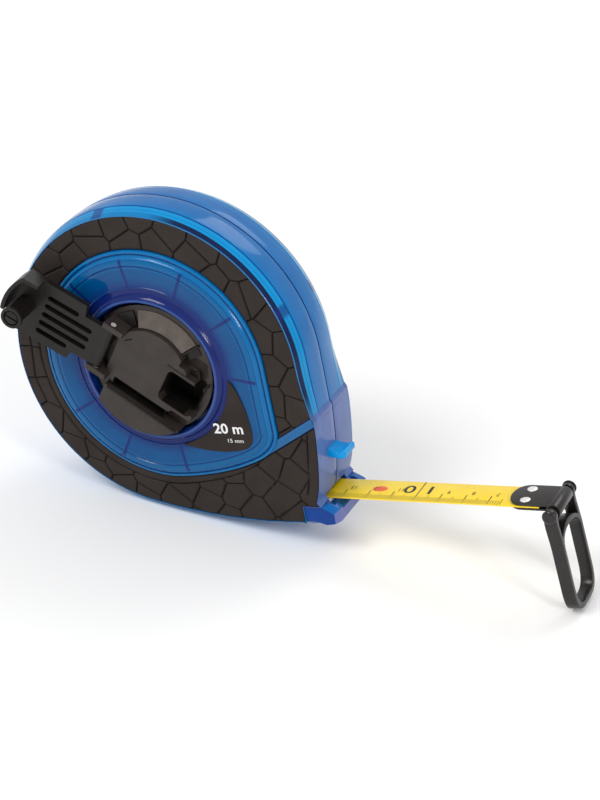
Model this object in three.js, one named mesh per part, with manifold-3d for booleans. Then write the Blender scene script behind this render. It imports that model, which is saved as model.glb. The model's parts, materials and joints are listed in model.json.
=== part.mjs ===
// Closed-case long tape measure with a folding winding crank. Millimetres, +Z up.
// Everything is laid out in the case frame: X runs along the pulled-out tape, Z is square to it,
// Y is depth (crank side at -Y), and the reel axis is X = Z = 0. The whole case is then tilted so
// that the tape rises to the right, and stood on the small flat under the reel.
import * as THREE from 'three';
import { mergeVertices } from 'three/addons/utils/BufferGeometryUtils.js';
import Module from 'manifold-3d';

const wasm = await Module();
wasm.setup();

// ---- driving dimensions ----
const gap = 0.3;                 // between pieces that touch
const tiltDeg = 13.6;            // tape direction above level
const footDrop = 64.2;           // reel axis to the standing flat

const caseR = 64.8;              // wall outside
const wallT = 2.0;
const rimY = 11.25;              // wall half depth, where the bevel starts
const faceY = 15.75;             // band plane
const domeY = 18.2;              // flat of the raised dome
const lipY = 19.75;              // hub lip
const bevelIn = 3.0;
const noseBevelIn = 0.8;         // the bevel dies out along the nose
const cavityY = 12.45;           // inside of the flat walls
const domeCavityY = 16.05;

const overlayT = 1.1;
const overlayY = 15.95;          // overlay outer face
const dropR = 48.5;              // inner edge of the overlay
const lipR = 27.6;
const lipOutR = 30.6;

const bladeW = 15;
const bladeT = 0.5;
const bladeZ = -59.05;           // middle of the blade
const bladeIn = 46;              // inner end of the modelled blade
const bladeOut = 146;

const flangeR = 54.5;
const flangeY = 9.3;
const flangeT = 1.2;
const drumR = 27;
const drumInR = 25.4;
const coilR = 50;
const spindleR = 5;

const seatR = 26.3;              // crank seat, turns inside the lip
const discR = 17.5;
const discY = 21.75;
const seatFloorY = 17.2;
const seatBlockY = 23.25;
const trenchIn = 10.2;           // trench between the platform and the raised block, off the arm's line
const trenchOut = 14.6;
const pocketHalf = 7.4;          // pocket for the folded knob
const pocketR = 2.4;

const crankDeg = 144;            // arm direction, case frame
const crankLift = 5;             // open arm leans away from the case
const hingeR = 19;
const hingeY = 23.4;
const armT = 2.6;
const armNarrow = 9.2;           // half widths
const armWide = 14;
const endR = 23.5;               // arm's outer end, an arc about the reel axis when folded
const endWallT = 1.5;
const endWallH = 5.2;
const stepU = 12;
const slotPitch = 4.07;
const slotW = 2.2;
const slotSkin = 0.5;            // left under each grip slot
const knobU = 34.5;
const knobLen = 12.6;
const knobR = 4.6;
const lugIn = 9.6;
const lugOut = 11.9;
const lugY = 25.6;
const hingePinR = 1.1;

const pinX = 151.3;              // ring pin, case frame
const pinZ = -60.5;
const ringHalf = 11.2;           // ring half width, across the tape
const ringT = 2.0;
const ringBand = 5;
const ringLen = 42.0;
const ringBarAt = 6.4;           // crown of the cross bar, from the pin
const ringBarT = 2.2;
const ringArch = 3.2;            // how far the bar drops from its crown to the arms
const ringLeanDeg = 4.8;         // hanging ring, from square to the tape

const rollerX = 58.6;
const rollerZ = -61.15;
const rollerR = 1.4;

// ---- materials ----
const paint = (color, roughness, metalness = 0, opacity = 1) =>
  new THREE.MeshStandardMaterial({ color, roughness, metalness, opacity, transparent: opacity < 1 });
const clearBlue = paint(0x1f6fd0, 0.12, 0, 0.55);
const softBlack = paint(0x3a3633, 0.75);
const gripBlack = paint(0x2b2725, 0.45);
const reelBlue = paint(0x2c56a8, 0.4);
const tapeYellow = paint(0xf4c51c, 0.4);
const steel = paint(0xc8c8cc, 0.25, 1);
const blackSteel = paint(0x2c2a2a, 0.4, 0.6);

// ---- solids ----
const rad = THREE.MathUtils.degToRad;
const polar = (r, deg) => new THREE.Vector2(r * Math.cos(rad(deg)), r * Math.sin(rad(deg)));

function toSolid(geometry) {
  const bare = geometry.clone();
  for (const name of Object.keys(bare.attributes)) if (name !== 'position') bare.deleteAttribute(name);
  const merged = mergeVertices(bare, 1e-4);
  return new wasm.Manifold(new wasm.Mesh({
    numProp: 3,
    vertProperties: new Float32Array(merged.attributes.position.array),
    triVerts: new Uint32Array(merged.index.array),
  }));
}

function toGeometry(solid) {
  const mesh = solid.getMesh();
  const geometry = new THREE.BufferGeometry();
  geometry.setAttribute('position', new THREE.BufferAttribute(mesh.vertProperties, 3));
  geometry.setIndex(new THREE.BufferAttribute(mesh.triVerts, 1));
  return geometry;
}

// closed body through rings of equal point counts; each ring is [points (x,z), y], back to front
function loft(rings) {
  const n = rings[0][0].length;
  const at = [];
  for (const [points, y] of rings) for (const p of points) at.push(p.x, y, p.y);
  const index = [];
  for (let k = 0; k + 1 < rings.length; k++) {
    for (let i = 0; i < n; i++) {
      const a = k * n + i;
      const b = k * n + ((i + 1) % n);
      index.push(a, b, b + n, a, b + n, a + n);
    }
  }
  const last = (rings.length - 1) * n;
  for (const [a, b, c] of THREE.ShapeUtils.triangulateShape(rings[0][0], [])) index.push(c, b, a);
  const front = rings[rings.length - 1][0];
  for (const [a, b, c] of THREE.ShapeUtils.triangulateShape(front, [])) {
    index.push(last + a, last + b, last + c);
  }
  const geometry = new THREE.BufferGeometry();
  geometry.setAttribute('position', new THREE.Float32BufferAttribute(at, 3));
  geometry.setIndex(index);
  return toSolid(geometry);
}

// prism of an (x,z) outline between two depths
const slab = (points, yFront, yBack) => loft([[points, yBack], [points, yFront]]);
const circle = (cx, cz, r, n = 24) =>
  Array.from({ length: n }, (_, i) => polar(r, (360 * i) / n).add(new THREE.Vector2(cx, cz)));
const rod = (cx, cz, r, yFront, yBack, n = 20) => slab(circle(cx, cz, r, n), yFront, yBack);
const corners = (list) => list.map(([x, z]) => new THREE.Vector2(x, z));
const rect = (x0, x1, z0, z1) => corners([[x0, z0], [x1, z0], [x1, z1], [x0, z1]]);
const box = (x0, x1, y0, y1, z0, z1) => slab(rect(x0, x1, z0, z1), y0, y1);

// body of revolution about Y from a closed (radius, y) outline
function turned(outline, segments = 48) {
  const points = outline.map(([r, y]) => new THREE.Vector2(r, y));
  if (THREE.ShapeUtils.area(points) < 0) points.reverse();
  points.push(points[0].clone());
  return toSolid(new THREE.LatheGeometry(points, segments));
}

// outline moved inward by a distance that may differ from point to point
function inset(points, amount) {
  const n = points.length;
  return points.map((p, i) => {
    const before = points[(i + n - 1) % n];
    const after = points[(i + 1) % n];
    const d1 = p.clone().sub(before).normalize();
    const d2 = after.clone().sub(p).normalize();
    const bisector = new THREE.Vector2(-d1.y - d2.y, d1.x + d2.x).normalize();
    const stretch = 1 / Math.max(0.4, bisector.dot(new THREE.Vector2(-d1.y, d1.x)));
    const e = typeof amount === 'function' ? amount(p) : amount;
    return p.clone().addScaledVector(bisector, e * stretch);
  });
}

// ---- outlines in the case frame (x, z), counter-clockwise ----
function outlinePoints(shape, divisions) {
  const points = shape.getPoints(divisions);
  if (points[0].distanceTo(points[points.length - 1]) < 1e-6) points.pop();
  return points;
}

// wall: round about the reel, a long flat sweep under it, and the leaning nose over the mouth
function caseOutline() {
  const shape = new THREE.Shape();
  const noseTop = new THREE.Vector2(65.4, -21);
  shape.moveTo(caseR, -20.2);
  shape.lineTo(caseR, 0);
  shape.absarc(0, 0, caseR, 0, rad(256), false);
  shape.bezierCurveTo(10, -69.4, 44, -71.6, 65.8, -67.2);
  shape.lineTo(66, -61.9);
  shape.lineTo(59.2, -57.2);
  shape.bezierCurveTo(62.6, -50.5, 64, -40, noseTop.x, noseTop.y);
  return outlinePoints(shape, 15);
}

const wall = caseOutline();
// full bevel round the case, small one along the nose
const { smoothstep, lerp } = THREE.MathUtils;
const noseShare = (p) => smoothstep(p.x, 56, 62) * (1 - smoothstep(p.y, -26, -16));
const faceInset = (p) => lerp(bevelIn, noseBevelIn, noseShare(p));
const face = inset(wall, faceInset);
const inner = inset(wall, wallT);

// raised dome: round about the reel with one corner toward the mouth
function dropOutline(r) {
  const shape = new THREE.Shape();
  shape.moveTo(r, -r * 0.58);
  shape.lineTo(r, 0);
  shape.absarc(0, 0, r, 0, rad(268), false);
  shape.bezierCurveTo(r * 0.22, -r * 0.995, r * 0.58, -r * 0.93, r * 0.83, -r * 0.8);
  shape.quadraticCurveTo(r * 0.98, -r * 0.71, r, -r * 0.58);
  return outlinePoints(shape, 11);
}

// clear strip that parts the overlay, from the dome's corner to the nose
const stripOutline = corners([
  [36, -40.4], [52, -31.8], [70, -21.6], [70, -17.6], [56, -25.2], [47.5, -30.4]]);
const guideOutline = rect(52.9, 70, -74, -59.6);

// length badge: inner edge follows the hub, outer edge follows the dome's corner
function badgeOutline() {
  const shape = new THREE.Shape();
  shape.absarc(0, 0, 33, rad(-8), rad(-78), true);
  shape.quadraticCurveTo(21, -36.6, 33, -34.2);
  shape.quadraticCurveTo(38.6, -33, 38.6, -26.5);
  shape.quadraticCurveTo(38.4, -14, 33.4, -5.4);
  return outlinePoints(shape, 5);
}

// ledge on the nose that holds the ring when the tape is wound in
const hookTab = corners([[62.4, -39.8], [71.6, -41.2], [72, -38.4], [70.4, -38], [70.2, -39], [62.9, -37.8]]);
const hookY0 = gap / 2;
const hookY1 = 8.6;

// ---- case shells ----
const bossPlaces = [20, 100, 180, 240].map((deg) => polar(58.6, deg)).concat(new THREE.Vector2(50, -51.5));
const mouthSlot = box(48, 72, -8.4, 8.4, -60.4, -57.6);

function frontShell() {
  let shell = loft([[wall, -gap / 2], [wall, -rimY], [face, -faceY]]);
  const domeFoot = dropOutline(dropR - 1.2);
  const domeTop = dropOutline(dropR - 3.4);
  shell = shell.add(loft([[domeFoot, -faceY + 1], [domeFoot, -faceY - 0.2], [domeTop, -domeY]]));
  shell = shell.add(rod(0, 0, lipOutR, -lipY, -faceY, 40));
  shell = shell.subtract(slab(inner, -cavityY, 1));
  shell = shell.subtract(slab(dropOutline(dropR - 6), -domeCavityY, -cavityY + 1));
  for (const p of bossPlaces) shell = shell.add(rod(p.x, p.y, 3, -cavityY - 0.5, -gap / 2, 12));
  for (const p of bossPlaces) shell = shell.subtract(rod(p.x, p.y, 1.3, -10.5, 1, 8));
  shell = shell.subtract(rod(0, 0, lipR, -30, 1, 40));
  const recess = slab(inset(face, -1), -faceY - 1, -overlayY + overlayT + gap)
    .subtract(slab(dropOutline(dropR - gap), -30, 1)).subtract(slab(stripOutline, -30, 1));
  shell = shell.subtract(recess.subtract(slab(inset(wall, 1.2), -30, 30).subtract(slab(face, -31, 31))));
  shell = shell.subtract(slab(inset(badgeOutline(), -gap), -domeY - 1, -domeY + 0.9));
  shell = shell.subtract(slab(inset(guideOutline, -gap), -30, 1));
  return shell.subtract(mouthSlot).add(slab(hookTab, -hookY1, -hookY0));
}

function rearShell() {
  let shell = loft([[wall, gap / 2], [wall, rimY], [face, faceY]].reverse());
  const domeFoot = dropOutline(dropR - 1.2);
  const domeTop = dropOutline(dropR - 3.4);
  shell = shell.add(loft([[domeTop, domeY], [domeFoot, faceY + 0.2], [domeFoot, faceY - 1]]));
  shell = shell.add(rod(0, 0, lipOutR, faceY, lipY, 40));
  shell = shell.subtract(slab(inner, -1, cavityY));
  shell = shell.subtract(slab(dropOutline(dropR - 6), cavityY - 1, domeCavityY));
  for (const p of bossPlaces) shell = shell.add(rod(p.x, p.y, 3, gap / 2, cavityY + 0.5, 12));
  for (const p of bossPlaces) {
    shell = shell.subtract(rod(p.x, p.y, 1.4, -1, 20, 8)).subtract(rod(p.x, p.y, 2.8, 13.2, 20, 12));
  }
  shell = shell.subtract(rod(0, 0, lipR, domeY - 0.4, 30, 40));
  shell = shell.subtract(rod(0, 0, 2.2, 10, 30, 16));
  const recess = slab(inset(face, -1), overlayY - overlayT - gap, faceY + 1)
    .subtract(slab(dropOutline(dropR - gap), -1, 30)).subtract(slab(stripOutline, -1, 30));
  shell = shell.subtract(recess.subtract(slab(inset(wall, 1.2), -30, 30).subtract(slab(face, -31, 31))));
  shell = shell.subtract(slab(inset(guideOutline, -gap), -1, 30));
  return shell.subtract(mouthSlot);
}

// soft band round the dome, open at the strip and at the mouth guide
function overlay(side) {
  const y = [side * (overlayY - overlayT), side * overlayY].sort((a, b) => a - b);
  const through = [-30, 30];
  let band = slab(inset(face, gap), ...y)
    .subtract(slab(dropOutline(dropR), ...through))
    .subtract(slab(inset(stripOutline, -0.1), ...through))
    .subtract(slab(inset(guideOutline, -gap), ...through));
  if (side > 0) for (const p of bossPlaces) band = band.subtract(rod(p.x, p.y, 3, ...through, 12));
  return band;
}

// wedge under the tape with two cheeks that carry the guide roller
function mouthGuide() {
  const block = loft([[wall, rimY], [wall, -rimY]]).add(loft([[wall, -rimY], [face, -faceY + 0.6]]))
    .add(loft([[face, faceY - 0.6], [wall, rimY]]));
  return block.intersect(slab(guideOutline, -30, 30))
    .subtract(box(50, 72, -8.6, 8.6, -62.9, -50))
    .subtract(box(50, 64, -11, 11, -62.9, -57))
    .add(box(56.4, 60.8, -10.9, -8.7, -63.4, -59.6))
    .add(box(56.4, 60.8, 8.7, 10.9, -63.4, -59.6))
    .subtract(rod(rollerX, rollerZ, rollerR - 0.4 + gap, -12, 12, 16));
}

// ---- reel ----
const ring = (r0, r1, y0, y1) => turned([[r0, y0], [r1, y0], [r1, y1], [r0, y1]], 40);
const drum = () => turned([
  [spindleR + 0.15, 1], [drumInR, 1], [drumInR, -7.8], [drumR, -7.8], [drumR, 7.8],
  [drumInR, 7.8], [drumInR, 3], [8.5, 3], [8.5, 9], [spindleR + 0.15, 9],
], 36);
// fixed post with a blind hole at each end; a washer and screw keep the drum on it, a bolt holds it
const spindle = () => turned([[0, 8.5], [1.9, 8.5], [1.9, 1], [spindleR, 1], [spindleR, 13.6], [9, 13.6],
  [9, domeCavityY - gap], [2.1, domeCavityY - gap], [2.1, 10], [0, 10]], 28);
const spindleWasher = () => turned([[2, 0.1], [8, 0.1], [8, 0.7], [2, 0.7]], 24);
const spindleScrew = () => turned([[0, -2.2], [3.6, -2.2], [3.6, -0.2], [1.6, -0.2], [1.6, 8.2], [0, 8.2]], 16);
const spindleBolt = () => turned([[0, 10.3], [1.8, 10.3], [1.8, 18.1], [4, 18.1], [4, 18.8], [0, 18.8]], 16);

// ---- crank ----
const crankDir = new THREE.Vector3(Math.cos(rad(crankDeg)), 0, Math.sin(rad(crankDeg)));
const crankSide = new THREE.Vector3(-Math.sin(rad(crankDeg)), 0, Math.cos(rad(crankDeg)));

// prisms placed in the crank's own axes: u outward along the arm, v across it, and depth
const onCrank = ({ x, y }) => new THREE.Vector2(
  crankDir.x * x + crankSide.x * y, crankDir.z * x + crankSide.z * y);
const alongCrank = (u0, u1, v0, v1, y0, y1) => slab(rect(u0, u1, v0, v1).map(onCrank), y0, y1);

function roundedAlongCrank(u0, u1, v0, v1, r, y0, y1) {
  const shape = new THREE.Shape();
  const quarter = Math.PI / 2;
  shape.absarc(u1 - r, v1 - r, r, 0, quarter, false);
  shape.absarc(u0 + r, v1 - r, r, quarter, 2 * quarter, false);
  shape.absarc(u0 + r, v0 + r, r, 2 * quarter, 3 * quarter, false);
  shape.absarc(u1 - r, v0 + r, r, 3 * quarter, 4 * quarter, false);
  return slab(outlinePoints(shape, 4).map(onCrank), y0, y1);
}

const inFront = -30;             // a depth well clear of the crank side, for cutters

// turning hub: shallow cup with the platform, a raised block beside it, two hinge lugs, and the pocket
function crankSeat() {
  let seat = turned([[0, -seatFloorY], [seatR, -seatFloorY], [seatR, -9.6], [seatR - 1.9, -9.6],
    [seatR - 1.9, -seatFloorY + 2], [0, -seatFloorY + 2]], 40);
  const foot = -seatFloorY + 1;
  seat = seat.add(rod(0, 0, discR, -discY, foot, 32));
  seat = seat.add(rod(0, 0, seatR, -seatBlockY, foot, 40)
    .intersect(alongCrank(-30, 13, trenchOut, 30, inFront, 0)));
  const lug = (v0, v1) => alongCrank(13.5, 22.4, v0, v1, -lugY, foot);
  seat = seat.add(lug(lugIn, lugOut)).add(lug(-lugOut, -lugIn));
  const pocketU = hingeR - knobU;
  const pocketWall = 1.2;
  const pocketOut = pocketHalf + pocketWall;
  seat = seat.add(alongCrank(pocketU - 8.2, pocketU + 9, -pocketOut, pocketOut, -discY, -6.8)
    .intersect(rod(0, 0, 25, inFront, 0, 40)));
  seat = seat.subtract(
    roundedAlongCrank(pocketU - 7.2, pocketU + 7.8, -pocketHalf, pocketHalf, pocketR, inFront, -8.2));
  seat = seat.subtract(alongCrank(-21, 11, trenchIn, trenchOut, inFront, -seatFloorY));
  const grooveFloor = -15.9;
  const wallGroove = rod(0, 0, endR + 1.2, inFront, grooveFloor, 40)
    .subtract(rod(0, 0, endR - endWallT - 1.2, inFront - 1, 1, 40))
    .add(alongCrank(-20, -10.6, -15.4, -11.2, inFront, grooveFloor));
  seat = seat.subtract(wallGroove.intersect(alongCrank(-30, -9, -16, 6, inFront, 0)));
  seat = seat.subtract(alongCrank(15.4, 30, -armNarrow - gap, armNarrow + gap, inFront, -hingeY + 2.6));
  const axes = new THREE.Matrix4().makeBasis(crankDir, crankSide, crankDir.clone().cross(crankSide));
  const pinHole = new THREE.CylinderGeometry(hingePinR + 0.2, hingePinR + 0.2, 40, 16)
    .applyMatrix4(axes)
    .translate(crankDir.x * hingeR, -hingeY, crankDir.z * hingeR);
  return seat.subtract(toSolid(pinHole));
}

// arm, knob and their pin in local axes: X along the arm from the hinge, Y across, Z away from the case
function flat(points, z0, z1) {
  const geometry = new THREE.ExtrudeGeometry(new THREE.Shape(points), { depth: z1 - z0, bevelEnabled: false });
  return toSolid(geometry.translate(0, 0, z0));
}

function slotOutline(u0, u1, v) {
  const shape = new THREE.Shape();
  shape.absarc(u1 - slotW / 2, v, slotW / 2, -Math.PI / 2, Math.PI / 2, false);
  shape.absarc(u0 + slotW / 2, v, slotW / 2, Math.PI / 2, 1.5 * Math.PI, false);
  return outlinePoints(shape, 3);
}

function armOutline(e) {
  const shape = new THREE.Shape();
  shape.moveTo(-0.4, -armNarrow + e);
  shape.lineTo(stepU - 1 + e, -armNarrow + e);
  shape.lineTo(stepU + e, -armWide + e);
  const corner = Math.asin((armWide - e) / (endR - e));
  shape.absarc(hingeR, 0, endR - e, -corner, Math.asin((armWide - 1 - e) / (endR - e)), false);
  shape.lineTo(stepU + e, armWide - 1 - e);
  shape.lineTo(stepU - 1 + e, armNarrow - e);
  shape.lineTo(-0.4, armNarrow - e);
  return outlinePoints(shape, 10);
}

function crankArm() {
  const half = armT / 2;
  let arm = flat(armOutline(0), -half, half);
  const barrel = new THREE.CylinderGeometry(half + 0.2, half + 0.2, 2 * armNarrow, 20);
  arm = arm.add(toSolid(barrel));
  for (const k of [-2, -1, 0, 1, 2]) {
    const start = Math.abs(k) === 2 ? 13.5 : 6.3;
    arm = arm.subtract(flat(slotOutline(start, 27.4, k * slotPitch), -half + slotSkin, 3));
  }
  const rimWall = flat(armOutline(0), half - 0.5, half + endWallH)
    .subtract(flat(armOutline(endWallT), 0, 8))
    .intersect(flat(rect(31, 50, -20, 4), 0, 9));
  const upright = (r, length, segments, z) =>
    toSolid(new THREE.CylinderGeometry(r, r, length, segments).rotateX(Math.PI / 2).translate(knobU, 0, z));
  arm = arm.add(rimWall).add(upright(3.4, 1.4, 24, half + 0.3));
  arm = arm.subtract(upright(1.6, 20, 16, 0));
  const pinHole = new THREE.CylinderGeometry(hingePinR + 0.2, hingePinR + 0.2, 40, 16);
  return arm.subtract(toSolid(pinHole));
}

// hollow tapered grip with finger flutes and a flange at its free end
function knob() {
  const z0 = armT / 2 + 1.3;
  const z1 = armT / 2 + knobLen;
  const outline = [[1.6, z0], [knobR - 0.5, z0], [knobR - 0.9, z1 - 2.2], [knobR, z1 - 1.4], [knobR, z1],
    [3.1, z1], [3.1, z1 - 1.6], [1.6, z1 - 1.6]];
  let grip = turned(outline, 24);
  for (let k = 0; k < 10; k++) {
    const p = polar(knobR - 0.2, 36 * k);
    grip = grip.subtract(rod(p.x, p.y, 0.55, z0 + 0.8, z1 - 2.4, 6));
  }
  return grip;
}

// slotted screw down the knob's middle, its head in the knob's end
function knobScrew() {
  const top = armT / 2 + knobLen;
  return turned([[0, -0.6], [1.3, -0.6], [1.3, top - 1.3], [2.7, top - 1.3], [2.7, top - 0.2], [0, top - 0.2]], 20)
    .subtract(box(-3, 3, top - 0.8, top + 1, -0.35, 0.35));
}

// ---- tape end ----
function tapeBlade() {
  let blade = box(bladeIn, bladeOut, -bladeW / 2, bladeW / 2, bladeZ - bladeT / 2, bladeZ + bladeT / 2);
  for (const s of [-1, 1]) blade = blade.subtract(rivetHole(s));
  return blade;
}

const rivetX = 139.8;
const rivetY = 4.2;
function rivetHole(side) {
  const hole = new THREE.CylinderGeometry(1.2, 1.2, 8, 16).rotateX(Math.PI / 2);
  return toSolid(hole.translate(rivetX, side * rivetY, bladeZ));
}

function rivet(side) {
  const half = 1.75;
  const points = corners([[0, -half], [1.7, -half], [1.7, -half + 0.4], [0.9, -half + 0.4], [0.9, half - 0.4],
    [1.9, half - 0.4], [1.7, half], [1.1, half + 0.35], [0, half + 0.5]]);
  return new THREE.LatheGeometry(points, 20).rotateX(Math.PI / 2).translate(rivetX, side * rivetY, bladeZ);
}

// folded sheet: one leaf above and one below the blade, closed round the ring pin
function endClip() {
  const inside = bladeT / 2 + gap;
  const outside = inside + 0.7;
  const body = box(131, pinX, -bladeW / 2 - 0.1, bladeW / 2 + 0.1, bladeZ - outside, bladeZ + outside);
  const knuckle = rod(pinX, pinZ, 2.5, -bladeW / 2 - 0.1, bladeW / 2 + 0.1, 24);
  const bridge = box(146, pinX, -bladeW / 2 - 0.1, bladeW / 2 + 0.1, pinZ - 1.2, bladeZ + outside);
  const plan = new THREE.Shape();
  plan.moveTo(160, -9);
  plan.lineTo(160, 9);
  plan.lineTo(138, 9);
  plan.quadraticCurveTo(131, 7, 131, 0);
  plan.quadraticCurveTo(131, -7, 138, -9);
  const cutter = toSolid(new THREE.ExtrudeGeometry(plan, { depth: 20, bevelEnabled: false, curveSegments: 10 })
    .translate(0, 0, pinZ - 10));
  let clip = body.add(knuckle).add(bridge).intersect(cutter)
    .subtract(box(130, bladeOut + gap, -9, 9, bladeZ - inside, bladeZ + inside))
    .subtract(rod(pinX, pinZ, 1.15 + gap, -20, 20, 20));
  for (const s of [-1, 1]) clip = clip.subtract(rivetHole(s));
  return clip;
}

const ringPin = () => turned([[0, -12.8], [1.6, -12.8], [2.4, -12.2], [2.4, -11.6], [1.15, -11.6],
  [1.15, 11.6], [2.4, 11.6], [2.4, 12.2], [1.6, 12.8], [0, 12.8]], 20);

// ring in local axes: X across the tape, Y down from the pin, Z square to the ring
function pullRing() {
  const h = ringHalf;
  const w = h - ringT;
  const outer = new THREE.Shape();
  outer.moveTo(-h, -2.4);
  outer.lineTo(-w, -2.4);
  outer.lineTo(-w, ringBarAt + ringArch);
  outer.quadraticCurveTo(-w / 2, ringBarAt, 0, ringBarAt);
  outer.quadraticCurveTo(w / 2, ringBarAt, w, ringBarAt + ringArch);
  outer.lineTo(w, -2.4);
  outer.lineTo(h, -2.4);
  outer.lineTo(h, ringLen - 9);
  outer.quadraticCurveTo(h, ringLen, h - 8, ringLen);
  outer.lineTo(-h + 8, ringLen);
  outer.quadraticCurveTo(-h, ringLen, -h, ringLen - 9);
  const crown = ringBarAt + ringBarT;
  const loop = new THREE.Shape();
  loop.moveTo(0, crown);
  loop.quadraticCurveTo(w * 0.9, crown, w, crown + ringArch + 2);
  loop.lineTo(w, ringLen - 10);
  loop.quadraticCurveTo(w, ringLen - ringT, w - 6.4, ringLen - ringT);
  loop.lineTo(-w + 6.4, ringLen - ringT);
  loop.quadraticCurveTo(-w, ringLen - ringT, -w, ringLen - 10);
  loop.lineTo(-w, crown + ringArch + 2);
  loop.quadraticCurveTo(-w * 0.9, crown, 0, crown);
  const eye = new THREE.CylinderGeometry(1.15 + gap, 1.15 + gap, 30, 20).rotateZ(Math.PI / 2);
  return flat(outlinePoints(outer, 6), -ringBand / 2, ringBand / 2)
    .subtract(flat(outlinePoints(loop, 6), -5, 5)).subtract(toSolid(eye));
}

// ---- assembly ----
const part = new THREE.Group();
const body = new THREE.Group();      // case frame
body.rotation.y = -rad(tiltDeg);
body.position.z = footDrop;
part.add(body);

function put(parent, name, solid, material) {
  const mesh = new THREE.Mesh(solid.isBufferGeometry ? solid : toGeometry(solid), material);
  mesh.name = name;
  parent.add(mesh);
  return mesh;
}

// flat under the reel that the case stands on, cut square to gravity
const down = new THREE.Vector2(-Math.sin(rad(tiltDeg)), -Math.cos(rad(tiltDeg)));
const along = new THREE.Vector2(-down.y, down.x);
const footCorner = (a, d) => down.clone().multiplyScalar(d).addScaledVector(along, a);
const underFoot = slab([footCorner(-40, footDrop + 30), footCorner(40, footDrop + 30),
  footCorner(40, footDrop), footCorner(-40, footDrop)], -40, 40);

put(body, 'front_shell', frontShell().subtract(underFoot), clearBlue);
put(body, 'rear_shell', rearShell().subtract(underFoot), clearBlue);
put(body, 'front_overlay', overlay(-1), softBlack);
put(body, 'rear_overlay', overlay(1), softBlack);
put(body, 'mouth_guide', mouthGuide(), clearBlue);
put(body, 'length_badge', slab(badgeOutline(), -domeY - 0.3, -domeY + 0.6), softBlack);
const rearCap = turned([[0, 19.9], [27.2, 19.9], [27.2, 18.2], [6, 18.2], [6, 19], [0, 19]], 40);
put(body, 'rear_cap', rearCap, softBlack);
put(body, 'spindle', spindle(), steel);
put(body, 'spindle_washer', spindleWasher(), steel);
put(body, 'spindle_screw', spindleScrew(), steel);
put(body, 'spindle_bolt', spindleBolt(), steel);
bossPlaces.forEach((p, i) => {
  const screw = turned([[0, -9], [1, -9], [1, 13.6], [2.4, 13.6], [2.4, 15.4], [0, 15.4]], 12)
    .subtract(box(-0.4, 0.4, 14.8, 16, -1.6, 1.6)).subtract(box(-1.6, 1.6, 14.8, 16, -0.4, 0.4));
  put(body, `case_screw_${i + 1}`, screw, steel).position.set(p.x, 0, p.y);
});

put(body, 'drum', drum(), reelBlue);
put(body, 'front_flange', ring(25.8, flangeR, -flangeY, -flangeY + flangeT), reelBlue);
put(body, 'rear_flange', ring(25.8, flangeR, flangeY - flangeT, flangeY), reelBlue);
put(body, 'tape_coil', ring(drumR + gap, coilR, -bladeW / 2, bladeW / 2), tapeYellow);
put(body, 'crank_seat', crankSeat(), gripBlack);

const hinge = new THREE.Group();
hinge.position.copy(crankDir).multiplyScalar(hingeR).setY(-hingeY);
const lift = rad(crankLift);
const armU = crankDir.clone().multiplyScalar(Math.cos(lift)).setY(-Math.sin(lift));
const armN = crankDir.clone().multiplyScalar(-Math.sin(lift)).setY(-Math.cos(lift));
hinge.quaternion.setFromRotationMatrix(new THREE.Matrix4().makeBasis(armU, crankSide, armN));
body.add(hinge);
put(hinge, 'crank_arm', crankArm(), gripBlack);
const hingePin = new THREE.CylinderGeometry(hingePinR, hingePinR, 2 * lugOut, 16);
put(hinge, 'crank_hinge_pin', toSolid(hingePin), steel);
const onKnob = new THREE.Group();
onKnob.position.x = knobU;
onKnob.rotation.x = Math.PI / 2;
hinge.add(onKnob);
put(onKnob, 'knob', knob(), gripBlack);
put(onKnob, 'knob_screw', knobScrew(), steel);

const rollerEnd = 11.4;
put(body, 'guide_roller', turned([[0, -rollerEnd], [1, -rollerEnd], [1, -8.5], [rollerR, -8.5], [rollerR, 8.5],
  [1, 8.5], [1, rollerEnd], [0, rollerEnd]], 20), steel).position.set(rollerX, 0, rollerZ);

put(body, 'tape_blade', tapeBlade(), tapeYellow);
put(body, 'end_clip', endClip(), blackSteel);
put(body, 'clip_rivet_1', toSolid(rivet(-1)), steel);
put(body, 'clip_rivet_2', toSolid(rivet(1)), steel);
put(body, 'ring_pin', ringPin(), blackSteel).position.set(pinX, 0, pinZ);
const hang = rad(ringLeanDeg);
const ringDown = new THREE.Vector3(Math.sin(hang), 0, -Math.cos(hang));
const ringAcross = new THREE.Vector3(0, 1, 0);
const ringMesh = put(body, 'pull_ring', pullRing(), blackSteel);
ringMesh.position.set(pinX, 0, pinZ);
ringMesh.quaternion.setFromRotationMatrix(new THREE.Matrix4().makeBasis(ringAcross, ringDown,
  new THREE.Vector3().crossVectors(ringAcross, ringDown)));

// the part's own frame: floor at Z = 0, under the middle of its box
part.updateMatrixWorld(true);
const bounds = new THREE.Box3().setFromObject(part, true);
const middle = bounds.getCenter(new THREE.Vector3());
part.position.set(-middle.x, -middle.y, -bounds.min.z);

export default part;
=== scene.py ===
import json
import math
import bpy
import bmesh
import numpy as np
from mathutils import Matrix, Vector


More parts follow.
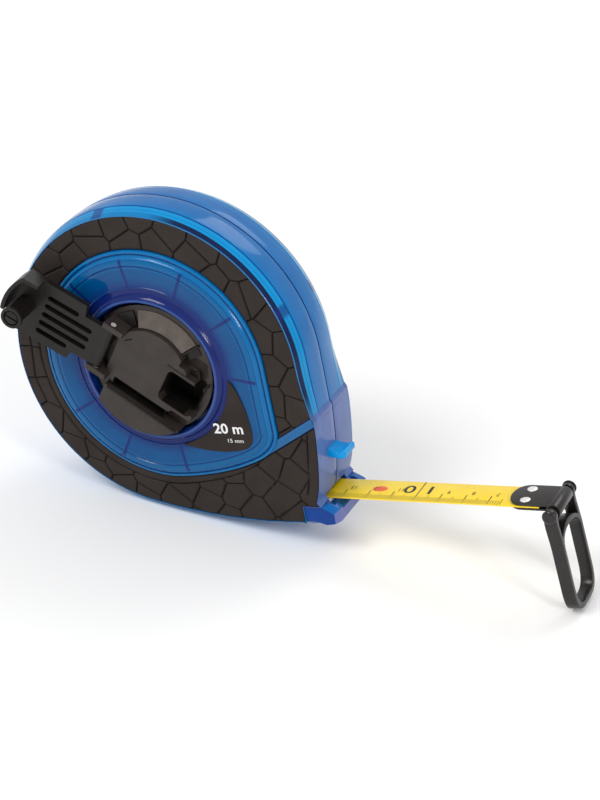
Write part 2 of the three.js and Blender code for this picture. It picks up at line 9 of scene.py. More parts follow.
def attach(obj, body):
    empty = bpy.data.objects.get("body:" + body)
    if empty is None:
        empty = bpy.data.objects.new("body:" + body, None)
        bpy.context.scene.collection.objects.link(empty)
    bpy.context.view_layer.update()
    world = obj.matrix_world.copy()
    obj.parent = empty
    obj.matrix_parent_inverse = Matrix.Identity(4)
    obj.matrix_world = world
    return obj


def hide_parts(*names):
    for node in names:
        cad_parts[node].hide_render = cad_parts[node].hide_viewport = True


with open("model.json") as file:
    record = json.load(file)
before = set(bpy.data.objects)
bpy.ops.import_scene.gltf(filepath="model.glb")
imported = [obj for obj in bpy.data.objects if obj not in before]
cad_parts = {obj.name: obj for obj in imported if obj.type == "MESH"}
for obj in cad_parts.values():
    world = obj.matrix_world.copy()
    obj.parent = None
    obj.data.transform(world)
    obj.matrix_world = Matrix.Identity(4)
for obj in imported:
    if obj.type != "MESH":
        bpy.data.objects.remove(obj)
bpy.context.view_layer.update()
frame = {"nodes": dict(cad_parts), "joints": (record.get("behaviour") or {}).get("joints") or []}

print("frame loaded")

# places
mm = 0.001
jointNamed = {j["name"]: j for j in frame["joints"]}


def jointPoint(name):
    return np.array(jointNamed[name]["pos_m"], float)


def jointAxis(name):
    axis = np.array(jointNamed[name]["axis"], float)
    return axis / np.linalg.norm(axis)


# a place is (origin, x, y, z): local millimetres go out along its three axes
hub = jointPoint("reel_spin")
depth = np.array((0.0, 1.0, 0.0))
along = jointAxis("tape_slide")                 # the way the tape is pulled
square = np.cross(along, depth)                 # square to the tape, upward
casePlace = (hub, along, depth, square)
facePlace = (hub, along, square, -depth)        # flat things on the crank side
armSide = -jointAxis("crank_fold")
armOut = jointAxis("knob_spin")
armPlace = (jointPoint("crank_fold"), np.cross(armSide, armOut), armSide, armOut)
seatPlace = (hub, np.cross(armSide, -depth), armSide, -depth)


def moved(place, x, y, z):
    origin, ex, ey, ez = place
    return (origin + mm * (x * ex + y * ey + z * ez), ex, ey, ez)


def toPlace(points, place):
    origin, ex, ey, ez = place
    p = np.asarray(points, float) * mm
    return origin + p[..., 0:1] * ex + p[..., 1:2] * ey + p[..., 2:3] * ez


# curves in the plane, as (n, 2) arrays
def line(a, b, count=8):
    t = np.linspace(0, 1, count, endpoint=False)[:, None]
    return np.asarray(a, float) * (1 - t) + np.asarray(b, float) * t


# circle arc: centre plus radius times (cos, sin)
def arc(centre, radius, startDeg, endDeg, count=24, last=False):
    t = np.radians(np.linspace(startDeg, endDeg, count, endpoint=last))
    return np.asarray(centre, float) + radius * np.stack((np.cos(t), np.sin(t)), 1)


# Bernstein weights on three or four control points
def bezier(*points, count=24):
    t = np.linspace(0, 1, count, endpoint=False)[:, None]
    p = np.asarray(points, float)
    n = len(p) - 1
    return sum(math.comb(n, k) * (1 - t) ** (n - k) * t ** k * p[k] for k in range(n + 1))


# every corner becomes a short parabola whose ends lie `reach` along its two sides
def rounded(points, reach, steps=4, closed=True):
    p = np.asarray(points, float)
    before, after = np.roll(p, 1, 0), np.roll(p, -1, 0)
    d0, d1 = before - p, after - p
    l0 = np.linalg.norm(d0, axis=1, keepdims=True) + 1e-9
    l1 = np.linalg.norm(d1, axis=1, keepdims=True) + 1e-9
    r = np.minimum(np.broadcast_to(np.asarray(reach, float).reshape(-1, 1), l0.shape),
                   np.minimum(l0, l1) * 0.45)
    a, b = p + d0 / l0 * r, p + d1 / l1 * r
    t = np.linspace(0, 1, steps)[None, :, None]
    out = (1 - t) ** 2 * a[:, None] + 2 * t * (1 - t) * p[:, None] + t ** 2 * b[:, None]
    if closed:
        return out.reshape(-1, 2)
    return np.concatenate((p[:1], out[1:-1].reshape(-1, 2), p[-1:]))


# each point slides inward along the bisector of its two sides by its own amount
def inset(points, amount):
    d1 = points - np.roll(points, 1, 0)
    d2 = np.roll(points, -1, 0) - points
    d1 /= np.linalg.norm(d1, axis=1, keepdims=True)
    d2 /= np.linalg.norm(d2, axis=1, keepdims=True)
    left = lambda d: np.stack((-d[:, 1], d[:, 0]), 1)
    bisector = left(d1) + left(d2)
    bisector /= np.linalg.norm(bisector, axis=1, keepdims=True)
    stretch = 1 / np.maximum(0.4, (bisector * left(d1)).sum(1))
    return points + bisector * (stretch * amount)[:, None]


# distance from the hub to a closed curve at each angle: the nearest crossing of that ray
def radiusAt(points, angles):
    a, b = points, np.roll(points, -1, 0)
    t0 = np.arctan2(a[:, 1], a[:, 0])
    span = np.angle(np.exp(1j * (np.arctan2(b[:, 1], b[:, 0]) - t0)))
    off = np.angle(np.exp(1j * (angles[:, None] - t0[None, :])))
    share = off / np.where(np.abs(span) < 1e-9, 1e-9, span)[None, :]
    ray = np.stack((np.cos(angles), np.sin(angles)), 1)
    edge = (b - a)[None]
    cross = lambda u, v: u[..., 0] * v[..., 1] - u[..., 1] * v[..., 0]
    slant = cross(ray[:, None], edge)
    reach = cross(a[None], edge) / np.where(np.abs(slant) < 1e-9, 1e-9, slant)
    hit = (share >= -1e-6) & (share <= 1 + 1e-6) & (reach > 0)
    return np.where(hit, reach, np.inf).min(1)


# surfaces, as (points, faces)
def gridFaces(rows, columns, wrapRows, wrapColumns):
    i = np.arange(rows if wrapRows else rows - 1)
    j = np.arange(columns if wrapColumns else columns - 1)
    i, j = np.meshgrid(i, j, indexing="ij")
    i2, j2 = (i + 1) % rows, (j + 1) % columns
    quads = np.stack((i * columns + j, i * columns + j2, i2 * columns + j2, i2 * columns + j), -1)
    return quads.reshape(-1, 4).tolist()


# a closed section at every row; rows either come round again or end in flat caps
def tube(grid, place, wrap=False):
    rows, columns = grid.shape[:2]
    faces = gridFaces(rows, columns, wrap, True)
    if not wrap:
        faces.append(list(range(columns)))
        faces.append(list(range((rows - 1) * columns, rows * columns)))
    return toPlace(grid, place).reshape(-1, 3), faces


# (radius, height) profile turned about the place's z; flutes shrink the radius by a cosine of the angle
def turned(profile, place, segments=96, bevel=0.25, flutes=0, fluteDepth=0.0, fluteSpan=(0, 0)):
    p = rounded(profile, bevel, 3)
    t = np.linspace(0, 2 * math.pi, segments, endpoint=False)[:, None]
    inSpan = (p[:, 1] > fluteSpan[0]) & (p[:, 1] < fluteSpan[1]) & (p[:, 0] > 0.6 * p[:, 0].max())
    r = np.maximum(p[None, :, 0] - fluteDepth * inSpan[None] * (0.5 - 0.5 * np.cos(flutes * t)) ** 2, 0)
    grid = np.stack((r * np.cos(t), r * np.sin(t), np.broadcast_to(p[None, :, 1], r.shape)), -1)
    return tube(grid, place, wrap=True)


# flat outline with holes, given thickness, its edges rounded by the curve's own bevel
def plate(outline, low, high, place, holes=(), bevel=0.25):
    curve = bpy.data.curves.new("outline", "CURVE")
    curve.dimensions = "2D"
    curve.fill_mode = "BOTH"
    curve.extrude = (high - low) / 2 - bevel
    curve.bevel_depth = bevel
    curve.bevel_resolution = 2
    curve.offset = -bevel
    for k, loop in enumerate((outline, *holes)):
        loop = np.asarray(loop, float)
        area = (loop[:, 0] * np.roll(loop[:, 1], -1) - loop[:, 1] * np.roll(loop[:, 0], -1)).sum()
        if (area > 0) == (k > 0):
            loop = loop[::-1]
        spline = curve.splines.new("POLY")
        spline.points.add(len(loop) - 1)
        flat = np.concatenate((loop, np.zeros((len(loop), 1)), np.ones((len(loop), 1))), 1)
        spline.points.foreach_set("co", flat.ravel())
        spline.use_cyclic_u = True
    return fromCurve(curve, (low + high) / 2, place)


def fromCurve(curve, height, place):
    holder = bpy.data.objects.new("outline", curve)
    bpy.context.scene.collection.objects.link(holder)
    bpy.context.view_layer.update()
    mesh = bpy.data.meshes.new_from_object(holder.evaluated_get(bpy.context.evaluated_depsgraph_get()))
    points = np.zeros(len(mesh.vertices) * 3)
    mesh.vertices.foreach_get("co", points)
    points = points.reshape(-1, 3) + (0, 0, height)
    faces = [list(p.vertices) for p in mesh.polygons]
    bpy.data.objects.remove(holder)
    bpy.data.curves.remove(curve)
    bpy.data.meshes.remove(mesh)
    return toPlace(points, place), faces


# lettering with a little thickness
def lettering(text, size, place, x, y, turn=0.0, thickness=0.06, width=1.0, weight=0.0):
    curve = bpy.data.curves.new("text", "FONT")
    curve.body = text
    curve.size = size
    curve.align_x = "CENTER"
    curve.align_y = "CENTER"
    curve.extrude = thickness / 2
    curve.offset = weight
    curve.resolution_u = 3
    points, faces = fromCurve(curve, thickness / 2, (np.zeros(3), *np.eye(3)))
    points = points / mm * (width, 1, 1)
    c, s = math.cos(math.radians(turn)), math.sin(math.radians(turn))
    points = points @ np.array(((c, s, 0), (-s, c, 0), (0, 0, 1))) + (x, y, 0)
    return toPlace(points, place), faces


# pieces
def piece(name, shells, body, material, replaces=(), sharpDeg=32, tint=None):
    start, points, faces = 0, [], []
    for p, f in shells:
        points.append(p)
        faces += [[start + k for k in face] for face in f]
        start += len(p)
    points = np.concatenate(points)
    mesh = bpy.data.meshes.new(name)
    mesh.from_pydata(points.tolist(), [], faces)
    if tint is not None:
        colour = mesh.color_attributes.new("tint", "FLOAT_COLOR", "POINT")
        rgba = np.concatenate((tint, np.ones((len(tint), 1))), 1)
        colour.data.foreach_set("color", rgba.ravel())
    bm = bmesh.new()
    bm.from_mesh(mesh)
    bmesh.ops.remove_doubles(bm, verts=bm.verts, dist=2e-6)
    bmesh.ops.recalc_face_normals(bm, faces=bm.faces)
    bm.to_mesh(mesh)
    bm.free()
    mesh.shade_smooth()
    mesh.set_sharp_from_angle(angle=math.radians(sharpDeg))
    return settle(bpy.data.objects.new(name, mesh), body, material, replaces)


def settle(obj, body, material, replaces):
    if obj.name not in bpy.context.scene.collection.objects:
        bpy.context.scene.collection.objects.link(obj)
    obj.data.materials.clear()
    obj.data.materials.append(material)
    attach(obj, body)
    if replaces:
        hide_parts(*replaces)
    return obj


# a frame part's own shape, merged, its flats dissolved and its edges rounded
def refined(name, node, body, material, width=0.25, sharpDeg=32):
    mesh = frame["nodes"][node].data.copy()
    mesh.name = name
    bm = bmesh.new()
    bm.from_mesh(mesh)
    bmesh.ops.remove_doubles(bm, verts=bm.verts, dist=5e-6)
    bmesh.ops.dissolve_limit(bm, angle_limit=math.radians(0.8), verts=bm.verts, edges=bm.edges)
    bm.to_mesh(mesh)
    bm.free()
    mesh.shade_smooth()
    mesh.set_sharp_from_angle(angle=math.radians(sharpDeg))
    obj = bpy.data.objects.new(name, mesh)
    if width:
        edge = obj.modifiers.new("edges", "BEVEL")
        edge.width = width * mm
        edge.segments = 2
        edge.limit_method = "ANGLE"
        edge.angle_limit = math.radians(sharpDeg)
        edge.harden_normals = True
    return settle(obj, body, material, (node,))


# materials
def newMaterial(name):
    material = bpy.data.materials.new(name)
    material.use_nodes = True
    nodes = material.node_tree.nodes
    return material, nodes, material.node_tree.links, nodes["Principled BSDF"]


def noise(nodes, links, scale, detail=3.0, stretch=(1, 1, 1)):
    where = nodes.new("ShaderNodeTexCoord")
    mapping = nodes.new("ShaderNodeMapping")
    mapping.inputs["Scale"].default_value = stretch
    texture = nodes.new("ShaderNodeTexNoise")
    texture.inputs["Scale"].default_value = scale
    texture.inputs["Detail"].default_value = detail
    links.new(where.outputs["Object"], mapping.inputs["Vector"])
    links.new(mapping.outputs["Vector"], texture.inputs["Vector"])
    return texture.outputs["Fac"]


def ramp(nodes, links, value, low, high):
    reach = nodes.new("ShaderNodeMapRange")
    reach.inputs["From Min"].default_value = 0.3
    reach.inputs["From Max"].default_value = 0.7
    reach.inputs["To Min"].default_value = low
    reach.inputs["To Max"].default_value = high
    links.new(value, reach.inputs["Value"])
    return reach.outputs["Result"]


def blendColour(nodes, links, value, a, b):
    mix = nodes.new("ShaderNodeMix")
    mix.data_type = "RGBA"
    mix.inputs["A"].default_value = (*a, 1)
    mix.inputs["B"].default_value = (*b, 1)
    links.new(ramp(nodes, links, value, 0, 1), mix.inputs["Factor"])
    return mix.outputs["Result"]


def bump(nodes, links, value, strength, distance):
    node = nodes.new("ShaderNodeBump")
    node.inputs["Strength"].default_value = strength
    node.inputs["Distance"].default_value = distance * mm
    links.new(value, node.inputs["Height"])
    return node.outputs["Normal"]


# painted shade in the grooves: darker where the piece's own distance to a groove is small
def darkGroove(nodes, links, colour, reachMm):
    away = nodes.new("ShaderNodeAttribute")
    away.attribute_name = "tint"
    share = nodes.new("ShaderNodeMapRange")
    share.inputs["From Min"].default_value = reachMm[0]
    share.inputs["From Max"].default_value = reachMm[1]
    share.inputs["To Min"].default_value = 0.12
    links.new(away.outputs["Fac"], share.inputs["Value"])
    mix = nodes.new("ShaderNodeMix")
    mix.data_type = "RGBA"
    mix.inputs["A"].default_value = (0, 0, 0, 1)
    links.new(colour, mix.inputs["B"])
    links.new(share.outputs["Result"], mix.inputs["Factor"])
    return mix.outputs["Result"]


# solid finish: patchy colour, patchy roughness, grain as bump; grain and bump have usual values
def solidFinish(name, s):
    material, nodes, links, shader = newMaterial(name)
    patch = noise(nodes, links, s["patch"], 4.0)
    grain = noise(nodes, links, s.get("grain", 1500), 2.0, s.get("stretch", (1, 1, 1)))
    colour = blendColour(nodes, links, patch, s["colour"], s["colour2"])
    # painted shade: the cell grooves are darkened towards black
    if "groove" in s:
        colour = darkGroove(nodes, links, colour, s["groove"])
    links.new(colour, shader.inputs["Base Color"])
    links.new(ramp(nodes, links, grain, *s["rough"]), shader.inputs["Roughness"])
    links.new(bump(nodes, links, grain, s.get("bump", 0.05), s.get("relief", 0.03)),
              shader.inputs["Normal"])
    shader.inputs["Metallic"].default_value = s.get("metal", 0.0)
    shader.inputs["Specular IOR Level"].default_value = s.get("specular", 0.5)
    shader.inputs["Coat Weight"].default_value = s.get("coat", 0.0)
    shader.inputs["Coat Roughness"].default_value = 0.12
    return material


# clear coloured plastic: the piece's tint, which holds painted light and shade, partly seen through
def clearFinish(name, s):
    material, nodes, links, shader = newMaterial(name)
    tint = nodes.new("ShaderNodeAttribute")
    tint.attribute_name = "tint"
    flow = noise(nodes, links, s["flow"], 2.0)
    mix = nodes.new("ShaderNodeMix")
    mix.data_type = "RGBA"
    mix.blend_type = "MULTIPLY"
    mix.inputs["Factor"].default_value = 1.0
    links.new(tint.outputs["Color"], mix.inputs["A"])
    links.new(blendColour(nodes, links, flow, s["dark"], s["light"]), mix.inputs["B"])
    links.new(mix.outputs["Result"], shader.inputs["Base Color"])
    links.new(ramp(nodes, links, flow, *s["rough"]), shader.inputs["Roughness"])
    shader.inputs["Transmission Weight"].default_value = s["through"]
    shader.inputs["Specular IOR Level"].default_value = s["specular"]
    shader.inputs["IOR"].default_value = s["ior"]
    shader.inputs["Coat Weight"].default_value = s["coat"]
    shader.inputs["Coat Roughness"].default_value = 0.12
    return material


finishes = {
    "clearBlue": {"flow": 60, "dark": (0.8, 0.86, 0.92), "light": (1, 1, 1), "rough": (0.08, 0.18),
                  "through": 0.42, "ior": 1.42, "coat": 0.0, "specular": 0.24},
    "softBlack": {"patch": 90, "grain": 2600, "colour": (0.020, 0.014, 0.011),
                  "colour2": (0.028, 0.020, 0.017),
                  "rough": (0.52, 0.66), "bump": 0.2, "relief": 0.05, "specular": 0.2},
    # painted shade: the groove entry gives the reach in millimetres over which cell grooves are darkened
    "cellShadeBlack": {"patch": 90, "grain": 2600, "colour": (0.022, 0.0155, 0.0125),
                  "colour2": (0.030, 0.022, 0.0185),
                  "rough": (0.52, 0.66), "bump": 0.2, "relief": 0.05, "specular": 0.2,
                  "groove": (0.12, 0.42)},
    "satinBlack": {"patch": 120, "colour": (0.0085, 0.0066, 0.0056), "colour2": (0.013, 0.0105, 0.009),
                   "rough": (0.30, 0.40), "bump": 0.06, "specular": 0.27},
    "hubBlack": {"patch": 160, "colour": (0.027, 0.020, 0.017), "colour2": (0.036, 0.028, 0.024),
                 "rough": (0.30, 0.42), "bump": 0.06, "specular": 0.35},
    # painted reflection: the panel's brown is lighter for the shine it shows
    "panelSheenBlack": {"patch": 220, "grain": 900, "colour": (0.060, 0.045, 0.037),
                   "colour2": (0.10, 0.078, 0.064),
                   "rough": (0.20, 0.32), "relief": 0.02, "specular": 0.6, "stretch": (1, 5, 1)},
    "shadowBlack": {"patch": 200, "colour": (0.003, 0.002, 0.002), "colour2": (0.006, 0.005, 0.004),
                  "rough": (0.5, 0.7), "relief": 0.02, "specular": 0.15},
    "tapeRed": {"patch": 700, "colour": (0.75, 0.10, 0.03), "colour2": (0.85, 0.18, 0.05),
                "rough": (0.35, 0.45), "bump": 0.03, "relief": 0.01},
    "reelBlue": {"patch": 60, "grain": 800, "colour": (0.02, 0.05, 0.22), "colour2": (0.03, 0.07, 0.28),
                 "rough": (0.30, 0.40)},
    "tapeYellow": {"patch": 140, "grain": 900, "colour": (0.93, 0.64, 0.008),
                   "colour2": (0.97, 0.70, 0.015),
                   "rough": (0.26, 0.36), "bump": 0.03, "relief": 0.02, "coat": 0.35},
    "tapeInk": {"patch": 900, "grain": 2500, "colour": (0.012, 0.009, 0.006),
                "colour2": (0.03, 0.022, 0.012),
                "rough": (0.4, 0.5), "relief": 0.01},
    "labelInk": {"patch": 600, "grain": 2500, "colour": (0.74, 0.74, 0.74), "colour2": (0.82, 0.82, 0.82),
                 "rough": (0.45, 0.55), "relief": 0.01},
    "brightSteel": {"patch": 200, "grain": 1200, "colour": (0.86, 0.84, 0.81),
                    "colour2": (0.94, 0.92, 0.89),
                    "rough": (0.26, 0.38), "bump": 0.03, "relief": 0.02, "metal": 0.55,
                    "stretch": (1, 6, 1)},
    "blackSteel": {"patch": 260, "grain": 500, "colour": (0.0095, 0.0075, 0.0070),
                   "colour2": (0.014, 0.0115, 0.011),
                   "rough": (0.22, 0.32), "bump": 0.02, "relief": 0.01, "metal": 0.0, "specular": 0.45},
}
clearBlue = clearFinish("clearBlue", finishes["clearBlue"])
look = {name: solidFinish(name, s) for name, s in finishes.items() if name != "clearBlue"}
print("materials ready")

# camera
cameraView = {"azimuth": 24.0, "elevation": 29.7, "roll": 2.0, "distance": 730.4, "sideways": 58.1,
              "upward": -11.4, "lens": 85.5, "lipY": -19.75}


def addCamera(s):
    az, el, roll = (math.radians(s[k]) for k in ("azimuth", "elevation", "roll"))
    back = np.array((math.sin(az) * math.cos(el), -math.cos(az) * math.cos(el), math.sin(el)))
    level = np.array((math.cos(az), math.sin(az), 0))
    right = math.cos(roll) * level + math.sin(roll) * np.cross(back, level)
    top = np.cross(back, right)
    aim = toPlace((0, s["lipY"], 0), casePlace)
    spot = aim + mm * (s["distance"] * back + s["sideways"] * right + s["upward"] * top)
    data = bpy.data.cameras.new("camera")
    data.lens = s["lens"]
    camera = bpy.data.objects.new("camera", data)
    camera.matrix_world = Matrix(np.column_stack((right, top, back, spot)).tolist() + [[0, 0, 0, 1]])
    bpy.context.scene.collection.objects.link(camera)
    bpy.context.scene.camera = camera


addCamera(cameraView)

# case shells
caseShape = {
    "radius": 64.6, "seam": 0.15, "face": 15.75, "bevel": 3.0, "noseBevel": 0.35, "wall": 2.0,
    "cavity": 12.45, "guideX": 52.6, "guideTop": -59.3, "slotHalf": 8.5, "recess": 1.15, "dropR": 48.5,
    "lipIn": 27.6, "lip": 19.75, "columns": 1100, "ribs": (94, 60, 28, -7, -82, -120, -154, 128, 165),
    "strip": {"normal": (-0.493, 0.870), "from": -53.35, "to": -49.65},
    "bosses": (20, 100, 180, 240), "bossAt": 58.6, "crossLines": ((64.6, -20.2), (65.2, -23.9)),
}


def caseOutline(s):
    arcEnd = arc((0, 0), s["radius"], 256, 256, 1, True)[0]
    bottom = bezier(arcEnd, (10, -69.4), (44, -71.6), (65.8, -67.2), count=260)
    bottom = bottom[bottom[:, 0] < s["guideX"] - 0.1]
    low = (s["guideX"], np.interp(s["guideX"], bottom[:, 0], bottom[:, 1]))
    tip, top = (60.7, s["guideTop"]), (s["guideX"], s["guideTop"])
    return np.concatenate((
        line((s["radius"], -20.2), (s["radius"], 0), 40), arc((0, 0), s["radius"], 0, 256, 600), bottom,
        line(low, top, 10), line(top, tip, 10), line(tip, (59.7, -57.4), 3),
        bezier((59.7, -57.4), (62.4, -50.5), (64, -40), (65.4, -21), count=60)))


def dropOutline(r):
    end = arc((0, 0), r, 268, 268, 1, True)[0]
    corner = (r * 0.83, -r * 0.8)
    return np.concatenate((
        line((r, -r * 0.58), (r, 0), 40), arc((0, 0), r, 0, 268, 560),
        bezier(end, (r * 0.22, -r * 0.995), (r * 0.58, -r * 0.93), corner, count=80),
        bezier(corner, (r * 0.98, -r * 0.71), (r, -r * 0.58), count=30)))


def smooth(x, low, high):
    t = np.clip((x - low) / (high - low), 0, 1)
    return t * t * (3 - 2 * t)


outline = caseOutline(caseShape)
px, pz = outline[:, 0], outline[:, 1]
onCut = (px > caseShape["guideX"] - 0.01) & (pz < caseShape["guideTop"] + 0.05)
noseShare = smooth(px, 50, 62) * (1 - smooth(pz, -29, -1))
noseChange = caseShape["noseBevel"] - caseShape["bevel"]
bevelAmount = np.where(onCut, 0.0, caseShape["bevel"] + noseChange * noseShare)
corners = np.array(((caseShape["radius"], -20.2), (65.4, -21), (59.7, -57.4), (60.7, -59.3), (52.6, -59.3),
                    (52.6, -70.35)))
cornerAngles = np.arctan2(corners[:, 1], corners[:, 0]) % (2 * math.pi)
theta = np.linspace(0, 2 * math.pi, caseShape["columns"], endpoint=False)
lineAngles = np.array([math.atan2(z, x) for x, z in caseShape["crossLines"]]) % (2 * math.pi)
theta = np.unique(np.concatenate((theta, cornerAngles - 0.0004, cornerAngles, cornerAngles + 0.0004,
                                  lineAngles - 0.003, lineAngles, lineAngles + 0.003)))
degrees = np.degrees(np.angle(np.exp(1j * theta)))
wallR = radiusAt(outline, theta)
faceR = radiusAt(inset(outline, bevelAmount), theta)
innerR = np.minimum(radiusAt(inset(outline, np.full(len(outline), caseShape["wall"])), theta), wallR - 1.4)
drop = dropOutline(caseShape["dropR"])
dropInset = lambda e: radiusAt(inset(drop, np.full(len(drop), e)), theta)
inMouth = (theta > cornerAngles[4] - 0.0002) & (theta < cornerAngles[2] + 0.0006)


# one ring per (radius, height) pair; the column's angle turns it round the hub
def rings(pairs, side):
    r = np.stack([np.broadcast_to(p[0], theta.shape) for p in pairs], 1)
    y = np.stack([np.broadcast_to(p[1], theta.shape) for p in pairs], 1)
    return np.stack((r * np.cos(theta)[:, None], side * y, r * np.sin(theta)[:, None]), -1)


# 1 between two angles, 0 outside them, with soft ends
def between(low, high, soft):
    return smooth(degrees, low - soft, low + soft) * (1 - smooth(degrees, high - soft, high + soft))


tints = {"wall": (0.035, 0.26, 0.68), "rimWall": (0.0, 0.30, 0.76), "line": (0.0, 0.06, 0.28),
         "seam": (0.0, 0.08, 0.34), "rimLine": (0.0, 0.13, 0.48),
         "bevel": (0.0, 0.46, 0.98), "shadowRing": (0.0, 0.34, 0.80), "edge": (0.04, 0.30, 0.68),
         "floor": (0.0, 0.06, 0.26), "slope": (0.0, 0.25, 0.64), "crest": (0.0, 0.18, 0.47),
         "dish": (0.0, 0.125, 0.38), "hub": (0.0, 0.036, 0.20), "lip": (0.05, 0.13, 0.44),
         "inside": (0.0, 0.12, 0.40)}
shades = {"litNose": (0.19, 0.25, 0.60), "shadowRing": (0.0, 0.018, 0.10), "bossShade": (0.01, 0.03, 0.26),
          "rib": (0.01, 0.03, 0.24),
          "hubShade": (0.014, 0.026, 0.24)}


def towards(tint, shade, share):
    return tint + (np.array(shades[shade]) - tint) * share[..., None]


# colour of every ring and column: the row's own tint, then painted light on the nose and painted shade at
# the inner rim, bosses, ribs and hub
def shellTint(s, names, grid):
    tint = np.broadcast_to(np.array([tints[n] for n in names])[None], grid.shape).copy()
    rows = np.array(names)
    isWall = np.isin(rows, ("wall", "rimWall", "rimLine", "bevel", "shadowRing", "edge"))[None]
    # painted light: the wall round the nose is painted a lighter lavender where light falls on it
    tint = towards(tint, "litNose", 0.85 * between(-49, -17.5, 0.6)[:, None] * isWall)
    # painted shadow: the ring next to the band is darkened near black between -16 and 74 degrees
    tint = towards(tint, "shadowRing", between(-16, 74, 7)[:, None] * (rows == "shadowRing")[None])
    # painted shade: dark patches on the bevel where the screw columns stand behind it
    for deg in s["bosses"]:
        near = 0.7 - 0.7 * smooth(np.abs((degrees - deg + 180) % 360 - 180), 1.3, 3.0)
        tint = towards(tint, "bossShade", near[:, None] * np.isin(rows, ("bevel", "shadowRing"))[None])
    radius = np.hypot(grid[..., 0], grid[..., 2])
    onFace = np.abs(grid[..., 1]) > 17
    onDish = smooth(radius, 33, 34) * (1 - smooth(radius, 44.5, 45.5)) * onFace
    # painted shade: the dish darkens over the inner ribs under it
    tint = towards(tint, "rib", 0.9 * ribShare(s, 0.45, 0.75)[:, None] * onDish)
    # painted shade: the dish darkens to violet next to the raised hub lip
    byHub = (1 - smooth(radius, 33, 38)) * onFace * np.isin(rows, ("dish", "hub"))[None]
    tint = towards(tint, "hubShade", 0.7 * byHub)
    cross = np.isin(np.round(theta, 9), np.round(lineAngles, 9))
    return np.where(cross[:, None, None] & (rows == "wall")[None, :, None], tint * 0.3, tint)


# 1 on the inner ribs that radiate from the hub, measured along the rim in millimetres
def ribShare(s, low, high):
    off = np.abs((degrees[:, None] - np.array(s["ribs"])[None] + 180) % 360 - 180).min(1)
    return 1 - smooth(np.radians(off) * 38, low, high)


# the shell as one closed band: out round the wall and over the face to the hub, then back inside it
def shellBand(s, side, hubR):
    face = s["face"]
    seam = np.where(inMouth, s["slotHalf"], s["seam"])
    lean = (wallR - faceR) / s["bevel"]
    inBy = lambda c: wallR - c * lean
    out = [(wallR - 0.5, seam, "seam"), (wallR - 0.08, seam + 0.12, "seam"), (wallR, seam + 0.35, "wall"),
           (inBy(0.05), np.maximum(seam + 0.8, 3.5), "wall"),
           (inBy(0.25), np.maximum(seam + 0.9, 7.0), "wall"),
           (inBy(0.6), 9.8, "rimWall"), (inBy(0.7), 10.1, "rimLine"), (inBy(0.95), 10.25, "rimLine"),
           (inBy(0.95), 10.4, "rimLine"),
           (inBy(0.8), 10.75, "bevel"), (inBy(1.1), 11.7, "bevel"), (inBy(1.32), 12.2, "bevel"),
           (inBy(1.38), 12.35, "rimLine"), (inBy(1.45), 12.5, "bevel"), (inBy(1.8), 13.4, "bevel"),
           (inBy(1.95), 13.75, "shadowRing"), (inBy(2.4), 14.8, "shadowRing"), (inBy(2.75), 15.4, "shadowRing"),
           (inBy(2.85), 15.55, "edge"), (inBy(3.0), face, "edge"), (faceR - 0.15, face, "edge"),
           (faceR - 0.25, face - s["recess"], "floor")]
    foot = dropInset(0.35)
    for f in np.linspace(0.1, 1, 4):
        out.append(((faceR - 0.25) * (1 - f) + foot * f, face - s["recess"], "floor"))
    dome = ((0.4, 15.8, "slope"), (0.55, 16.2, "slope"), (0.9, 16.45, "slope"), (1.5, 16.5, "slope"),
            (1.75, 16.2, "floor"), (2.05, 16.2, "floor"), (2.3, 16.6, "slope"), (2.8, 17.3, "slope"),
            (3.4, 17.75, "slope"), (3.55, 17.8, "line"), (3.75, 17.85, "crest"), (4.3, 18.1, "crest"),
            (5.0, 18.25, "crest"), (5.8, 18.2, "crest"), (6.1, 17.95, "line"), (6.4, 17.95, "line"),
            (6.7, 18.1, "crest"), (7.6, 18.05, "dish"))
    out += [(dropInset(e), y, t) for e, y, t in dome]
    edge = dropInset(7.6)
    for f, y in ((0.15, 17.95), (0.35, 17.75), (0.6, 17.55), (0.8, 17.4), (0.93, 17.35), (1.0, 17.35)):
        out.append((edge * (1 - f) + 34.0 * f, y, "dish"))
    # painted highlight: the two narrow rows at the crest of the hub lip are a lighter lavender
    out += [(33.9, 17.4, "dish"), (33.6, 17.65, "line"), (33.2, 17.65, "line"), (33.0, 17.35, "hub"),
            (32.0, 17.4, "hub"), (31.1, 17.7, "hub"), (30.7, 18.3, "hub"), (30.2, 19.0, "hub"),
            (29.5, 19.5, "hub"), (29.0, 19.7, "lip"), (28.5, 19.7, "lip"), (28.1, 19.5, "hub"),
            (27.8, 19.0, "hub"), (27.65, 18.0, "line")]
    if hubR > 20:
        out += [(hubR, 12.2, "line"), (29.4, 12.2, "hub"), (29.4, 15.6, "inside")]
    else:
        out += [(27.6, 17.85, "hub"), (26.8, 17.8, "hub"), (hubR, 17.8, "hub"), (hubR, 16.1, "hub"),
                (29.0, 15.9, "inside")]
    rib = ribShare(s, 0.35, 0.6)
    out += [(33.0, 15.9 - 0.9 * rib, "inside"), (dropInset(9.5), 16.1 - 1.2 * rib, "inside"),
            (dropInset(6.2), 16.0 - 1.2 * rib, "inside"), (dropInset(5.4), 14.2, "inside"),
            (dropInset(5.0), 12.5, "inside"), (innerR - 1.2, s["cavity"], "inside"),
            (innerR, s["cavity"] - 1.0, "inside"), (innerR, seam, "inside")]
    grid = rings([(r, y) for r, y, _ in out], side)
    tint = shellTint(s, [t for _, _, t in out], grid)
    points, faces = tube(grid, casePlace, wrap=True)
    return onFoot(points), faces, tint.reshape(-1, 3)


# nothing reaches below the flat that the case stands on
def onFoot(points):
    points[:, 2] = np.maximum(points[:, 2], 0.0)
    return points


